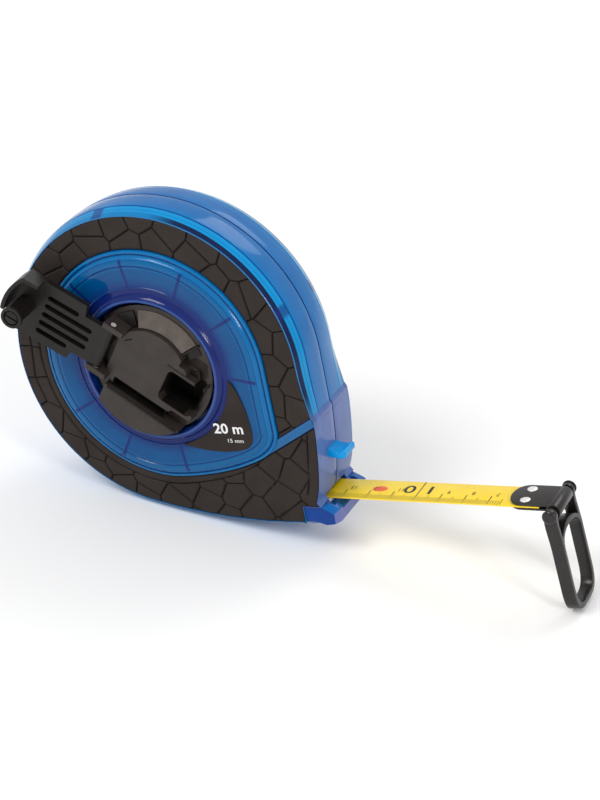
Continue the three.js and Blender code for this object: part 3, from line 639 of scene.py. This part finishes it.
# clear strip between the two parts of the soft band, from the dome's foot to the nose
def strip(s, side):
    q = s["strip"]
    outerR, innerR0 = faceR - 0.1, dropInset(0.3)
    ends = [[crossing(r, theta, q[k]) for k in ("from", "to")] for r in (innerR0, outerR)]
    reach = [np.interp(ends[k], theta, r) for k, r in enumerate((innerR0, outerR))]
    corner = np.array([[(reach[k][m] * math.cos(ends[k][m]), reach[k][m] * math.sin(ends[k][m]))
                        for m in (0, 1)]
                       for k in (0, 1)])
    across = np.array((0, 0.04, 0.14, 0.5, 0.86, 0.96, 1))[None, :, None]
    lengthways = np.linspace(0, 1, 40)[:, None, None]
    low = corner[0, 0] * (1 - lengthways) + corner[1, 0] * lengthways
    high = corner[0, 1] * (1 - lengthways) + corner[1, 1] * lengthways
    top = low * (1 - across) + high * across
    height = s["face"] - np.array((0.35, 0.08, 0.0, 0.12, 0.0, 0.08, 0.35))
    under = top[:, ::6][:, ::-1]
    xz = np.concatenate((top, under), 1)
    y = np.concatenate((height, np.full(under.shape[1], s["face"] - s["recess"] - 0.3)))
    grid = np.stack((xz[..., 0], np.broadcast_to(side * y, xz.shape[:2]), xz[..., 1]), -1)
    colour = np.array([tints[n] for n in ("line", "line", "edge", "wall", "edge", "line", "line")]
                      + [tints["line"]] * under.shape[1]) * 0.75
    points, faces = tube(grid, casePlace)
    return points, faces, np.broadcast_to(colour[None], grid.shape).reshape(-1, 3)


# the hollow columns that the case screws go into
def bossColumn(s, deg, side):
    at = s["bossAt"] * np.array((math.cos(math.radians(deg)), math.sin(math.radians(deg))))
    place = (toPlace((at[0], 0, at[1]), casePlace), along, square, -depth)
    low, high = sorted((-side * 12.7, -side * 0.3))
    return turned(((1.5, low), (3.0, low), (3.0, high), (1.5, high)), place, 32, 0.1)


def crossing(radius, angles, level):
    q = caseShape["strip"]
    t = q["normal"][0] * radius * np.cos(angles) + q["normal"][1] * radius * np.sin(angles)
    near = (np.cos(angles) > 0.5) & (np.sin(angles) < 0)
    return angles[np.where(near, np.abs(t - level), 1e9).argmin()]


def ledge():
    profile = np.array(((62.6, -40.6), (69.4, -41.6), (71.6, -40.8), (71.8, -38.2), (70.4, -37.8),
                        (69.6, -38.9),
                        (66.4, -38.3), (62.9, -37.3)))
    flat = rounded(profile, 0.9, 5)
    y = np.array((-8.5, -8.3, -0.4, -0.2))
    shrink = np.array((0.9, 1.0, 1.0, 0.9))[:, None, None]
    middle = flat.mean(0)
    xz = middle + (flat[None] - middle) * shrink
    grid = np.stack((xz[..., 0], np.broadcast_to(y[:, None], xz.shape[:2]), xz[..., 1]), -1)
    return tube(grid, casePlace)


def tinted(shell, name):
    return np.broadcast_to(np.array(tints[name]), (len(shell[0]), 3))


def caseHalf(name, node, side, hubR, extra):
    shells = [shellBand(caseShape, side, hubR), strip(caseShape, side)]
    shells += [(*shell, tinted(shell, "bevel")) for shell in extra]
    columns = [bossColumn(caseShape, deg, side) for deg in caseShape["bosses"]]
    shells += [(*shell, tinted(shell, "hub")) for shell in columns]
    tint = np.concatenate([q[2] for q in shells])
    piece(name, [q[:2] for q in shells], "case", clearBlue, (node,), tint=tint)


caseHalf("front_case", "front_shell", -1, caseShape["lipIn"], [ledge()])
caseHalf("rear_case", "rear_shell", 1, 2.3, [])
print("case shells made")

# soft bands with the cell pattern
bandShape = {"outer": 0.35, "top": 15.95, "thick": 1.05, "across": 52, "along": 1500, "spacing": 13.0,
             "jitter": 2.6, "groove": 0.75, "halfWidth": 0.36, "border": 3.2, "noseBorder": 4.2,
             "edge": 0.7, "seed": 11}


# cell centres in staggered rows round the hub, each pushed off its place a little
def cellCentres(s):
    random = np.random.default_rng(s["seed"])
    centres = []
    for row, r in enumerate((51.0, 60.5, 71.0, 82.0, 93.0)):
        count = int(2 * math.pi * r / s["spacing"])
        t = (np.arange(count) + 0.5 * (row % 2)) / count * 2 * math.pi
        push = random.uniform(-s["jitter"], s["jitter"], (count, 2))
        centres.append(r * np.stack((np.cos(t), np.sin(t)), 1) + push)
    return np.concatenate(centres)


# distance to the line halfway between the two nearest cell centres
def toCellEdge(x, z, centres):
    flat = np.stack((x.ravel(), z.ravel()), 1)
    out = np.zeros(len(flat))
    for part in np.array_split(np.arange(len(flat)), 12):
        d = ((flat[part, None] - centres[None]) ** 2).sum(-1)
        near = np.argpartition(d, 1, 1)[:, :2]
        d1 = np.take_along_axis(d, near[:, :1], 1)[:, 0]
        d2 = np.take_along_axis(d, near[:, 1:2], 1)[:, 0]
        apart = np.linalg.norm(centres[near[:, 0]] - centres[near[:, 1]], axis=1)
        out[part] = np.abs(d2 - d1) / (2 * apart)
    return out.reshape(x.shape)


# the cells stop at a plain border: along the dome below the reel, and along the nose
def toGroove(x, z, fromInner, fromOuter, centres, s):
    cells = toCellEdge(x, z, centres)
    byDome = (x * 0.5 + z * 0.87 < 2) & (x < 40)
    byNose = (x > 40) & (z < -24) & (z > -54)
    inner = np.where(fromInner < s["border"], 9.0, cells)
    inner = np.minimum(inner, np.abs(fromInner - s["border"]))
    cells = np.where(byDome, inner, cells)
    outer = np.where(fromOuter < s["noseBorder"], 9.0, cells)
    outer = np.minimum(outer, np.abs(fromOuter - s["noseBorder"]))
    return np.where(byNose, outer, cells)


def band(name, node, side, s):
    fine = np.linspace(-math.pi, math.pi, 7200, endpoint=False)
    outerFine = radiusAt(inset(outline, bevelAmount + s["outer"]), fine)
    innerFine = radiusAt(drop, fine)
    strip = caseShape["strip"]
    low, high = strip["from"] - 0.15, strip["to"] + 0.15
    startOut, startIn = (crossing(r, fine, high) for r in (outerFine, innerFine))
    endOut, endIn = (crossing(r, fine, low) for r in (outerFine, innerFine))
    full = 2 * math.pi
    tOut = np.linspace(startOut, endOut + full, s["along"])
    tIn = np.interp(tOut, (startOut, 0.5, 4.6, endOut + full), (startIn, 0.5, 4.6, endIn + full))
    wrap = lambda t: (t + math.pi) % full - math.pi
    rOut = np.interp(wrap(tOut), fine, outerFine, period=full)
    rIn = np.interp(wrap(tIn), fine, innerFine, period=full)
    outer = np.stack((rOut * np.cos(tOut), rOut * np.sin(tOut)), 1)
    inner = np.stack((rIn * np.cos(tIn), rIn * np.sin(tIn)), 1)
    f = np.concatenate(((0, 0.012, 0.03), np.linspace(0.05, 0.95, s["across"]), (0.97, 0.988, 1)))
    xz = inner[:, None] * (1 - f)[None, :, None] + outer[:, None] * f[None, :, None]
    width = np.linalg.norm(outer - inner, axis=1)[:, None]
    toEdge = np.minimum(f, 1 - f)[None] * width
    toEnd = np.minimum(np.arange(s["along"]), np.arange(s["along"])[::-1])[:, None] * 0.3
    roll = 0.4 * (1 - smooth(np.minimum(toEdge, toEnd + 0.05), 0, s["edge"]))
    away = toGroove(xz[..., 0], xz[..., 1], f[None] * width, (1 - f)[None] * width, cellCentres(s), s)
    y = s["top"] - roll - s["groove"] * np.exp(-(away / s["halfWidth"]) ** 2)
    floor = s["top"] - s["thick"]
    y = np.maximum(y, floor + 0.12)
    top = np.stack((xz[..., 0], side * y, xz[..., 1]), -1)
    under = top[:, ::-1].copy()
    under[..., 1] = side * floor
    grid = np.concatenate((top, under[:, ::8]), 1)
    points, faces = tube(grid, casePlace)
    # the distance to the nearest groove, kept as the tint that drives the painted groove shade
    shade = np.concatenate((np.clip(away, 0, 1), np.ones((s["along"], under[:, ::8].shape[1]))), 1)
    tint = np.repeat(shade.reshape(-1, 1), 3, 1)
    return piece(name, [(onFoot(points), faces)], "case", look["cellShadeBlack"], (node,), 60,
                 tint)


band("front_band", "front_overlay", -1, bandShape)
band("rear_band", "rear_overlay", 1, {**bandShape, "seed": 5})
print("soft bands made")

# length badge
badgeShape = {"low": 17.2, "high": 18.25, "length": "20 m", "width": "15 mm"}


def badge(s):
    edge = np.concatenate((
        arc((0, 0), 33.1, -78, -8, 40, True),
        bezier((33.4, -5.4), (38.4, -14), (38.6, -26.5), count=16),
        bezier((38.6, -26.5), (38.6, -33), (33, -34.2), count=10),
        bezier((33, -34.2), (21, -36.6), (7.2, -32.5), count=16)))
    piece("badge", [plate(edge, s["low"], s["high"], facePlace, bevel=0.2)], "case",
          look["softBlack"], ("length_badge",))
    above = moved(facePlace, 0, 0, s["high"] + 0.01)
    text = [lettering(s["length"], 5.9, above, 28.6, -25.2, weight=0.13, width=1.08),
            lettering(s["width"], 2.3, above, 30.6, -30.2, width=1.15)]
    piece("badge_lettering", text, "case", look["labelInk"])


badge(badgeShape)

# reel inside
reelShape = {"flangeR": 54.5, "flangeY": 9.3, "flangeT": 1.2, "drumR": 27.0, "coilR": 50.0, "bladeW": 15.0}


def reel(s):
    across = moved(casePlace, 0, 0, 0)
    turnPlace = (across[0], along, square, -depth)
    for name, node, h0 in (("front_cheek", "front_flange", s["flangeY"] - s["flangeT"]),
                           ("rear_cheek", "rear_flange", -s["flangeY"])):
        h1 = h0 + s["flangeT"]
        piece(name, [turned(((25.8, h0), (s["flangeR"], h0), (s["flangeR"], h1), (25.8, h1)), turnPlace,
                            144)],
              "reel", look["reelBlue"], (node,))
    half = s["bladeW"] / 2
    windings = turned(((s["drumR"] + 0.3, -half), (s["coilR"], -half), (s["coilR"], half),
                       (s["drumR"] + 0.3, half)), turnPlace, 144, bevel=0.05)
    piece("wound_tape", [windings], "reel", look["tapeYellow"], ("tape_coil",))
    refined("reel_core", "drum", "reel", look["reelBlue"], 0.2)


reel(reelShape)
print("reel made")

# crank
refined("hub_face", "crank_seat", "reel", look["hubBlack"], 0.3)
hubShape = {"floor": 16.6, "panels": ({"from": 24, "to": 90, "inner": 20.0, "outer": 17.7},
                                      {"from": -14, "to": -3, "inner": 18.6, "outer": 18.0, "outR": 21.3},
                                      {"from": 13, "to": 20.6, "inner": 18.6, "outer": 17.5, "inR": 19.0},
                                      {"from": 95, "to": 118, "inner": 18.4, "outer": 18.0}),
            "inR": 17.75, "outR": 24.3, "ridgeDeg": 22.2, "ribV": 15.3, "ribHigh": 23.85,
            "pocket": (-22.65, -7.75, 7.35), "pocketTop": 16.6, "sideFrom": -20.0, "pocketR": 2.3,
            "trench": (-13.4, 10.9, 10.3, 14.5),
            "skin": 0.25}


# block round the hub: its section is carried from one angle to the other
def sector(r0, r1, start, end, low, innerHigh, outerHigh, place):
    section = rounded(((r0, low), (r1, low), (r1, outerHigh), (r0, innerHigh)), 0.3, 3)
    t = np.radians(np.linspace(start, end, max(3, int(abs(end - start) / 2))))[:, None]
    r, h = section[None, :, 0], np.broadcast_to(section[None, :, 1], (len(t), len(section)))
    return tube(np.stack((r * np.cos(t), r * np.sin(t), h), -1), place)


def roundedBox(u0, u1, v0, v1, r):
    return np.concatenate((arc((u1 - r, v1 - r), r, 0, 90, 8, True),
                           arc((u0 + r, v1 - r), r, 90, 180, 8, True),
                           arc((u0 + r, v0 + r), r, 180, 270, 8, True),
                           arc((u1 - r, v0 + r), r, 270, 360, 8, True)))


# painted shadow: thin black skin on a recess's side walls and floor, where shade falls
def lining(u0, u1, v0, v1, r, low, high, skin):
    outer = roundedBox(u0, u1, v0, v1, r)
    inner = roundedBox(u0 + skin, u1 - skin, v0 + skin, v1 - skin, max(r - skin, 0.2))
    return [plate(outer, low, high, seatPlace, (inner,), bevel=0.05),
            plate(outer, low, low + skin, seatPlace, bevel=0.05)]


def bar(u0, u1, v0, v1, low, high, place, bevel=0.15):
    return plate(((u0, v0), (u1, v0), (u1, v1), (u0, v1)), low, high, place, bevel=bevel)


def hubDetails(s):
    panels = [sector(q.get("inR", s["inR"]), q.get("outR", s["outR"]), q["from"], q["to"], s["floor"],
                     q["inner"], q["outer"], facePlace)
              for q in s["panels"]]
    # painted reflection: the panel between 24 and 90 degrees is painted lighter brown for its shine
    piece("hub_panel_sheen", panels[:1], "reel", look["panelSheenBlack"])
    ridge = sector(s["inR"], s["outR"] + 1.0, s["ridgeDeg"] - 0.9, s["ridgeDeg"] + 0.9, s["floor"], 20.3,
                   18.3, facePlace)
    v = s["ribV"]
    shells = panels[1:] + [ridge, bar(-20.8, 11.8, v - 0.5, v + 0.5, 23.0, s["ribHigh"], seatPlace),
                           bar(-19.3, -6.4, -9.2, -8.4, 21.5, 21.95, seatPlace)]
    piece("hub_details", shells, "reel", look["satinBlack"])
    # painted shadow: a black dash, black skins in the pocket and trench, and black strips along the
    # pocket's sides and end
    dash = ((-6.3, 13.2), (-2.7, 13.8), (-2.75, 14.2), (-6.35, 13.6))
    u0, u1, half = s["pocket"]
    dark = [plate(dash, 21.65, 21.9, facePlace, bevel=0.05),
            *lining(u0, u1, -half, half, s["pocketR"], 8.3, s["pocketTop"], s["skin"]),
            *lining(*s["trench"], 0.5, 17.25, 21.6, s["skin"])]
    low, skin, r = s["pocketTop"], s["skin"], s["pocketR"]
    dark += [bar(s["sideFrom"], u1 - r, min(v, v - k * skin), max(v, v - k * skin), low, 21.6, seatPlace,
                 0.05)
             for k, v in ((-1, -half), (1, half))]
    dark.append(bar(u1 - skin, u1, r - half, half - r, low, 21.6, seatPlace, 0.05))
    piece("shadow_linings", dark, "reel", look["shadowBlack"])


hubDetails(hubShape)
refined("folding_arm", "crank_arm", "crank", look["satinBlack"], 0.22)
knobShape = {"at": 34.5, "base": 2.6, "tip": 13.9, "radius": 4.4, "flutes": 12}


def knobPiece(s):
    place = moved(armPlace, s["at"], 0, 0)
    r, tip = s["radius"], s["tip"]
    profile = ((1.6, s["base"]), (r - 0.5, s["base"]), (r - 0.9, tip - 2.3), (r - 0.1, tip - 1.7), (r, tip),
               (3.1, tip), (3.0, tip - 1.6), (1.6, tip - 1.6))
    grip = turned(profile, place, 120, 0.3, s["flutes"], 0.45, (s["base"] + 0.5, tip - 2.2))
    piece("grip_knob", [grip], "knob", look["satinBlack"], ("knob",))
    head = tip - 0.2
    body = turned(((0, -0.6), (1.3, -0.6), (1.3, head - 1.1), (2.7, head - 1.1), (2.7, head - 0.6),
                   (0, head - 0.6)),
                  place, 48, 0.1)
    halves = [plate(np.concatenate((arc((0, 0), 2.65, a + 8, a + 172, 24, True),)), head - 0.7, head,
                    place, bevel=0.12)
              for a in (0, 180)]
    piece("knob_axle", [body, *halves], "crank", look["satinBlack"], ("knob_screw",))


knobPiece(knobShape)
frame["nodes"]["crank_hinge_pin"].data.materials.clear()
frame["nodes"]["crank_hinge_pin"].data.materials.append(look["brightSteel"])
print("crank made")

# tape
tapeShape = {"inner": 46, "outer": 146, "half": 7.5, "z": -59.05, "thick": 0.5, "zero": 195.3,
             "print": 0.04, "spot": 78.6,
             "spotHalf": (3.1, 2.1),
             "marks": (131.0, 47.0)}


def tape(s):
    low, high = s["z"] - s["thick"] / 2, s["z"] + s["thick"] / 2
    section = rounded(((-s["half"], low), (s["half"], low), (s["half"], high), (-s["half"], high)), 0.12, 3)
    x = np.linspace(s["inner"], s["outer"], 60)
    grid = np.stack((np.broadcast_to(x[:, None], (len(x), len(section))),
                     np.broadcast_to(section[None, :, 0], (len(x), len(section))),
                     np.broadcast_to(section[None, :, 1], (len(x), len(section)))), -1)
    piece("blade", [tube(grid, casePlace)], "tape", look["tapeYellow"], ("tape_blade",))
    top = moved(casePlace, 0, 0, high + 0.005)
    marks = []
    first = math.ceil(s["zero"] - s["marks"][0])
    last = math.floor(s["zero"] - s["marks"][1])
    count = np.arange(first, last + 1)
    long = np.where(count % 10 == 0, 6.2, np.where(count % 5 == 0, 4.4, 3.1))
    long = np.where(count == 100, 14.6, long)
    wide = np.where(count % 10 == 0, 0.19, 0.12)
    for n, reach, w in zip(count, long, wide):
        at = s["zero"] - n
        corner = ((at - w, -7.2), (at + w, -7.2), (at + w, -7.2 + reach), (at - w, -7.2 + reach))
        marks.append(slabOf(corner, s["print"], top))
    for cm in range(first // 10 + 1, last // 10 + 1):
        if cm != 10:
            marks.append(lettering(str(cm), 3.6, top, s["zero"] - 10 * cm + 2.2, 0.6, 180, s["print"], 0.8))
    for digit, off in (("1", 4.2), ("0", -4.4)):
        marks.append(lettering(digit, 8.2, top, s["zero"] - 100 + off, 1.6, 180, s["print"], 1.25, 0.08))
    piece("graduations", marks, "tape", look["tapeInk"])
    oval = np.array((s["spot"], 0.6)) + arc((0, 0), 1, 0, 360, 48) * s["spotHalf"]
    disc = [plate(oval, 0, s["print"], top, bevel=0.005)]
    piece("red_spot", disc, "tape", look["tapeRed"])


def slabOf(corner, thickness, place):
    flat = np.asarray(corner, float)
    grid = np.stack([np.concatenate((flat, np.full((4, 1), h)), 1) for h in (0, thickness)])
    return tube(grid, place)


tape(tapeShape)
print("tape made")

# clip, rivets, pin and ring
endShape = {"leafStart": 133.0, "pinX": 151.3, "pinZ": -60.5, "half": 7.6, "gap": 0.3, "leaf": 0.7,
            "rivetX": 139.8, "rivetY": 4.2, "ringHalf": 11.2, "band": 5.0, "thick": 2.0, "length": 42.0,
            "bar": 6.4, "barT": 2.2, "arch": 3.2, "lean": 4.8, "kink": 0.055}


def clipAndRing(s):
    high = tapeShape["z"] + tapeShape["thick"] / 2 + s["gap"]
    low = tapeShape["z"] - tapeShape["thick"] / 2 - s["gap"]
    h, x0, x1 = s["half"], s["leafStart"], s["pinX"]
    leaf = np.concatenate((line((x1 + 0.4, -h), (x1 + 0.4, h), 2), line((x1 + 0.4, h), (x0 + 6, h), 2),
                           bezier((x0 + 6, h), (x0 + 0.4, h - 0.4), (x0, 0), count=14),
                           bezier((x0, 0), (x0 + 0.4, -h + 0.4), (x0 + 6, -h), count=14)))
    upper = plate(leaf, high, high + s["leaf"], casePlace, bevel=0.18)
    under = plate(leaf[:, :], low - s["leaf"], low, casePlace, bevel=0.18)
    pin = (toPlace((s["pinX"], 0, s["pinZ"]), casePlace), along, -square, depth)
    knuckle = turned(((1.5, -h), (2.9, -h), (2.9, h), (1.5, h)), pin, 64, 0.3)
    piece("tape_clip", [upper, under, knuckle], "tape", look["blackSteel"], ("end_clip",))
    for k, side in enumerate((-1, 1)):
        place = moved(casePlace, s["rivetX"], side * s["rivetY"], tapeShape["z"])
        over = 1.35
        rivet = turned(((0, -over - 0.45), (1.1, -over - 0.35), (1.8, -over), (0.95, -over + 0.1),
                        (0.95, over - 0.1), (2.0, over - 0.05), (1.9, over + 0.12), (1.2, over + 0.38),
                        (0, over + 0.5)), place, 40, 0.15)
        piece(f"rivet_{k + 1}", [rivet], "tape", look["brightSteel"],
              (f"clip_rivet_{k + 1}",))
    axle = turned(((0, -12.8), (2.0, -12.8), (2.8, -12.2), (2.8, -11.5), (1.15, -11.5), (1.15, 11.5),
                   (2.8, 11.5),
                   (2.8, 12.2), (2.0, 12.8), (0, 12.8)), pin, 48, 0.3)
    piece("ring_axle", [axle], "tape", look["blackSteel"], ("ring_pin",))
    lean = math.radians(s["lean"])
    hang = math.sin(lean) * along - math.cos(lean) * square
    ringPlace = (pin[0], depth, hang, np.cross(depth, hang))
    w, t, n = s["ringHalf"], s["thick"], s["length"]
    b, i = s["bar"], s["ringHalf"] - s["thick"]
    outer = np.concatenate((
        line((-w, 0), (-i, 0), 2), line((-i, 0), (-i, b + s["arch"]), 4),
        bezier((-i, b + s["arch"]), (-i / 2, b), (0, b), count=12),
        bezier((0, b), (i / 2, b), (i, b + s["arch"]), count=12),
        line((i, b + s["arch"]), (i, 0), 4), line((i, 0), (w, 0), 2), line((w, 0), (w, n - 10), 12),
        bezier((w, n - 10), (w, n - 2.5), (w - 3, n), (w - 8, n), count=16),
        line((w - 8, n), (-w + 8, n), 2),
        bezier((-w + 8, n), (-w + 3, n), (-w, n - 2.5), (-w, n - 10), count=16),
        line((-w, n - 10), (-w, 0), 12)))
    crown, shoulder = b + s["barT"], b + s["barT"] + s["arch"] + 2
    hole = np.concatenate((
        bezier((-i, shoulder), (-i * 0.9, crown), (0, crown), count=14),
        bezier((0, crown), (i * 0.9, crown), (i, shoulder), count=14), line((i, shoulder), (i, n - 11), 8),
        bezier((i, n - 11), (i, n - t - 2), (i - 3, n - t), (i - 7, n - t), count=16),
        line((i - 7, n - t), (-i + 7, n - t), 2),
        bezier((-i + 7, n - t), (-i + 3, n - t), (-i, n - t - 2), (-i, n - 11), count=16)))
    half = s["band"] / 2
    loop = plate(outer, -half, half, ringPlace, (hole,), bevel=0.3)
    down = ((loop[0] - ringPlace[0]) * ringPlace[2]).sum(1)
    bend = s["kink"] * np.maximum(0.013 - down, 0) * smooth(down, 0.0, 0.004)
    loop = (loop[0] + bend[:, None] * ringPlace[3], loop[1])
    eyes = [turned(((1.5, y0), (2.5, y0), (2.5, y0 + t), (1.5, y0 + t)), pin, 48, 0.25)
            for y0 in (-w, w - t)]
    piece("finger_ring", [loop, *eyes], "ring", look["blackSteel"], ("pull_ring",))


clipAndRing(endShape)
print("tape end made")

# mouth guide, roller, fasteners, rear cap
guide = refined("guide_block", "mouth_guide", "case", clearBlue, 0.35)
guideLitTints = {"side": (0.0, 0.07, 0.40), "front": (0.24, 0.28, 0.72), "top": (0.02, 0.22, 0.66)}


# painted light and shade: each flat of the block takes its tint from the way it faces, the front lit
# lavender, the top lighter blue, the sides dark
def facingTint(mesh, s):
    normal = np.zeros(len(mesh.polygons) * 3)
    corners = np.zeros(len(mesh.polygons), int)
    mesh.polygons.foreach_get("normal", normal)
    mesh.polygons.foreach_get("loop_total", corners)
    normal = normal.reshape(-1, 3)
    facing = np.where(normal @ along > 0.7, 1, np.where(normal @ square > 0.7, 2, 0))
    colour = np.array([(*s[name], 1.0) for name in ("side", "front", "top")])[facing]
    tint = mesh.color_attributes.new("tint", "FLOAT_COLOR", "CORNER")
    tint.data.foreach_set("color", np.repeat(colour, corners, 0).ravel())


facingTint(guide.data, guideLitTints)
for name, node in frame["nodes"].items():
    if name.startswith(("spindle", "guide_roller")):
        node.data.materials.clear()
        node.data.materials.append(look["brightSteel"])
screwShape = {"headTop": 14.6, "headT": 1.9, "headR": 2.3, "shankR": 1.25, "threadPitch": 1.1,
              "threadDepth": 0.25}


# a screw on the axis of the frame's own: pan head under the soft band, saw-toothed thread below it
def screwPiece(name, node, s):
    points = np.zeros(len(node.data.vertices) * 3)
    node.data.vertices.foreach_get("co", points)
    points = (points.reshape(-1, 3) - hub) / mm
    x, y, z = points @ along, points @ depth, points @ square
    place = moved(casePlace, (x.min() + x.max()) / 2, 0, (z.min() + z.max()) / 2)
    place = (place[0], -along, square, depth)
    neck = s["headTop"] - s["headT"]
    r, d, p = s["shankR"], s["threadDepth"], s["threadPitch"]
    profile = [(0, y.min()), (r - d, y.min() + 0.4)]
    for low in np.arange(y.min() + 0.6, neck - p, p):
        profile += [(r - d, low), (r, low + 0.5 * p)]
    profile += [(r - d, neck), (s["headR"], neck), (s["headR"], s["headTop"] - 0.6), (1.2, s["headTop"]),
                (0.7, s["headTop"] - 0.9), (0, s["headTop"] - 1.1)]
    piece(name.replace("case_", "shell_"), [turned(profile, place, 32, 0.12)], "case",
          look["brightSteel"], (name,))


for name, node in frame["nodes"].items():
    if name.startswith("case_screw"):
        screwPiece(name, node, screwShape)


def rearCap():
    place = (hub, -along, square, depth)
    profile = [(0, 18.3), (27.1, 18.3), (27.1, 19.9)]
    for r in (25.6, 19.0, 12.4):
        profile += [(r + 0.5, 19.9), (r + 0.3, 19.5), (r - 0.3, 19.5), (r - 0.5, 19.9)]
    profile += [(0, 19.9)]
    piece("back_cap", [turned(profile, place, 144, 0.2)], "case", look["satinBlack"],
          ("rear_cap",))


rearCap()
print("small parts made")

# floor, light
studio = {"floor": 3.0, "world": (1.0, 1.0, 1.0), "worldStrength": 0.66,
          "lamps": ({"at": (-0.9, -1.3, 1.8), "size": 0.9, "power": 22.0},
                    {"at": (1.7, -0.9, 1.2), "size": 0.5, "power": 12.0},
                    {"at": (0.2, 1.4, 1.6), "size": 1.0, "power": 8.0})}


def studioLight(s):
    half = s["floor"]
    mesh = bpy.data.meshes.new("floor")
    mesh.from_pydata([(-half, -half, 0), (half, -half, 0), (half, half, 0), (-half, half, 0)], [],
                     [(0, 1, 2, 3)])
    floor = bpy.data.objects.new("floor", mesh)
    bpy.context.scene.collection.objects.link(floor)
    material, nodes, links, shader = newMaterial("paleFloor")
    patch = noise(nodes, links, 3.0)
    links.new(blendColour(nodes, links, patch, (0.93, 0.93, 0.93), (0.95, 0.95, 0.95)),
              shader.inputs["Base Color"])
    shader.inputs["Roughness"].default_value = 0.8
    shader.inputs["Specular IOR Level"].default_value = 0.1
    mesh.materials.append(material)
    world = bpy.data.worlds.new("studio")
    world.use_nodes = True
    world.node_tree.nodes["Background"].inputs["Color"].default_value = (*s["world"], 1)
    world.node_tree.nodes["Background"].inputs["Strength"].default_value = s["worldStrength"]
    bpy.context.scene.world = world
    for k, lamp in enumerate(s["lamps"]):
        data = bpy.data.lights.new(f"softbox_{k}", "AREA")
        data.size = lamp["size"]
        data.energy = lamp["power"]
        light = bpy.data.objects.new(f"softbox_{k}", data)
        light.location = lamp["at"]
        aim = Vector((0, 0, 0.06)) - Vector(lamp["at"])
        light.rotation_euler = aim.to_track_quat("-Z", "Y").to_euler()
        bpy.context.scene.collection.objects.link(light)
    bpy.context.scene.view_settings.view_transform = "Standard"


studioLight(studio)
print("studio ready")
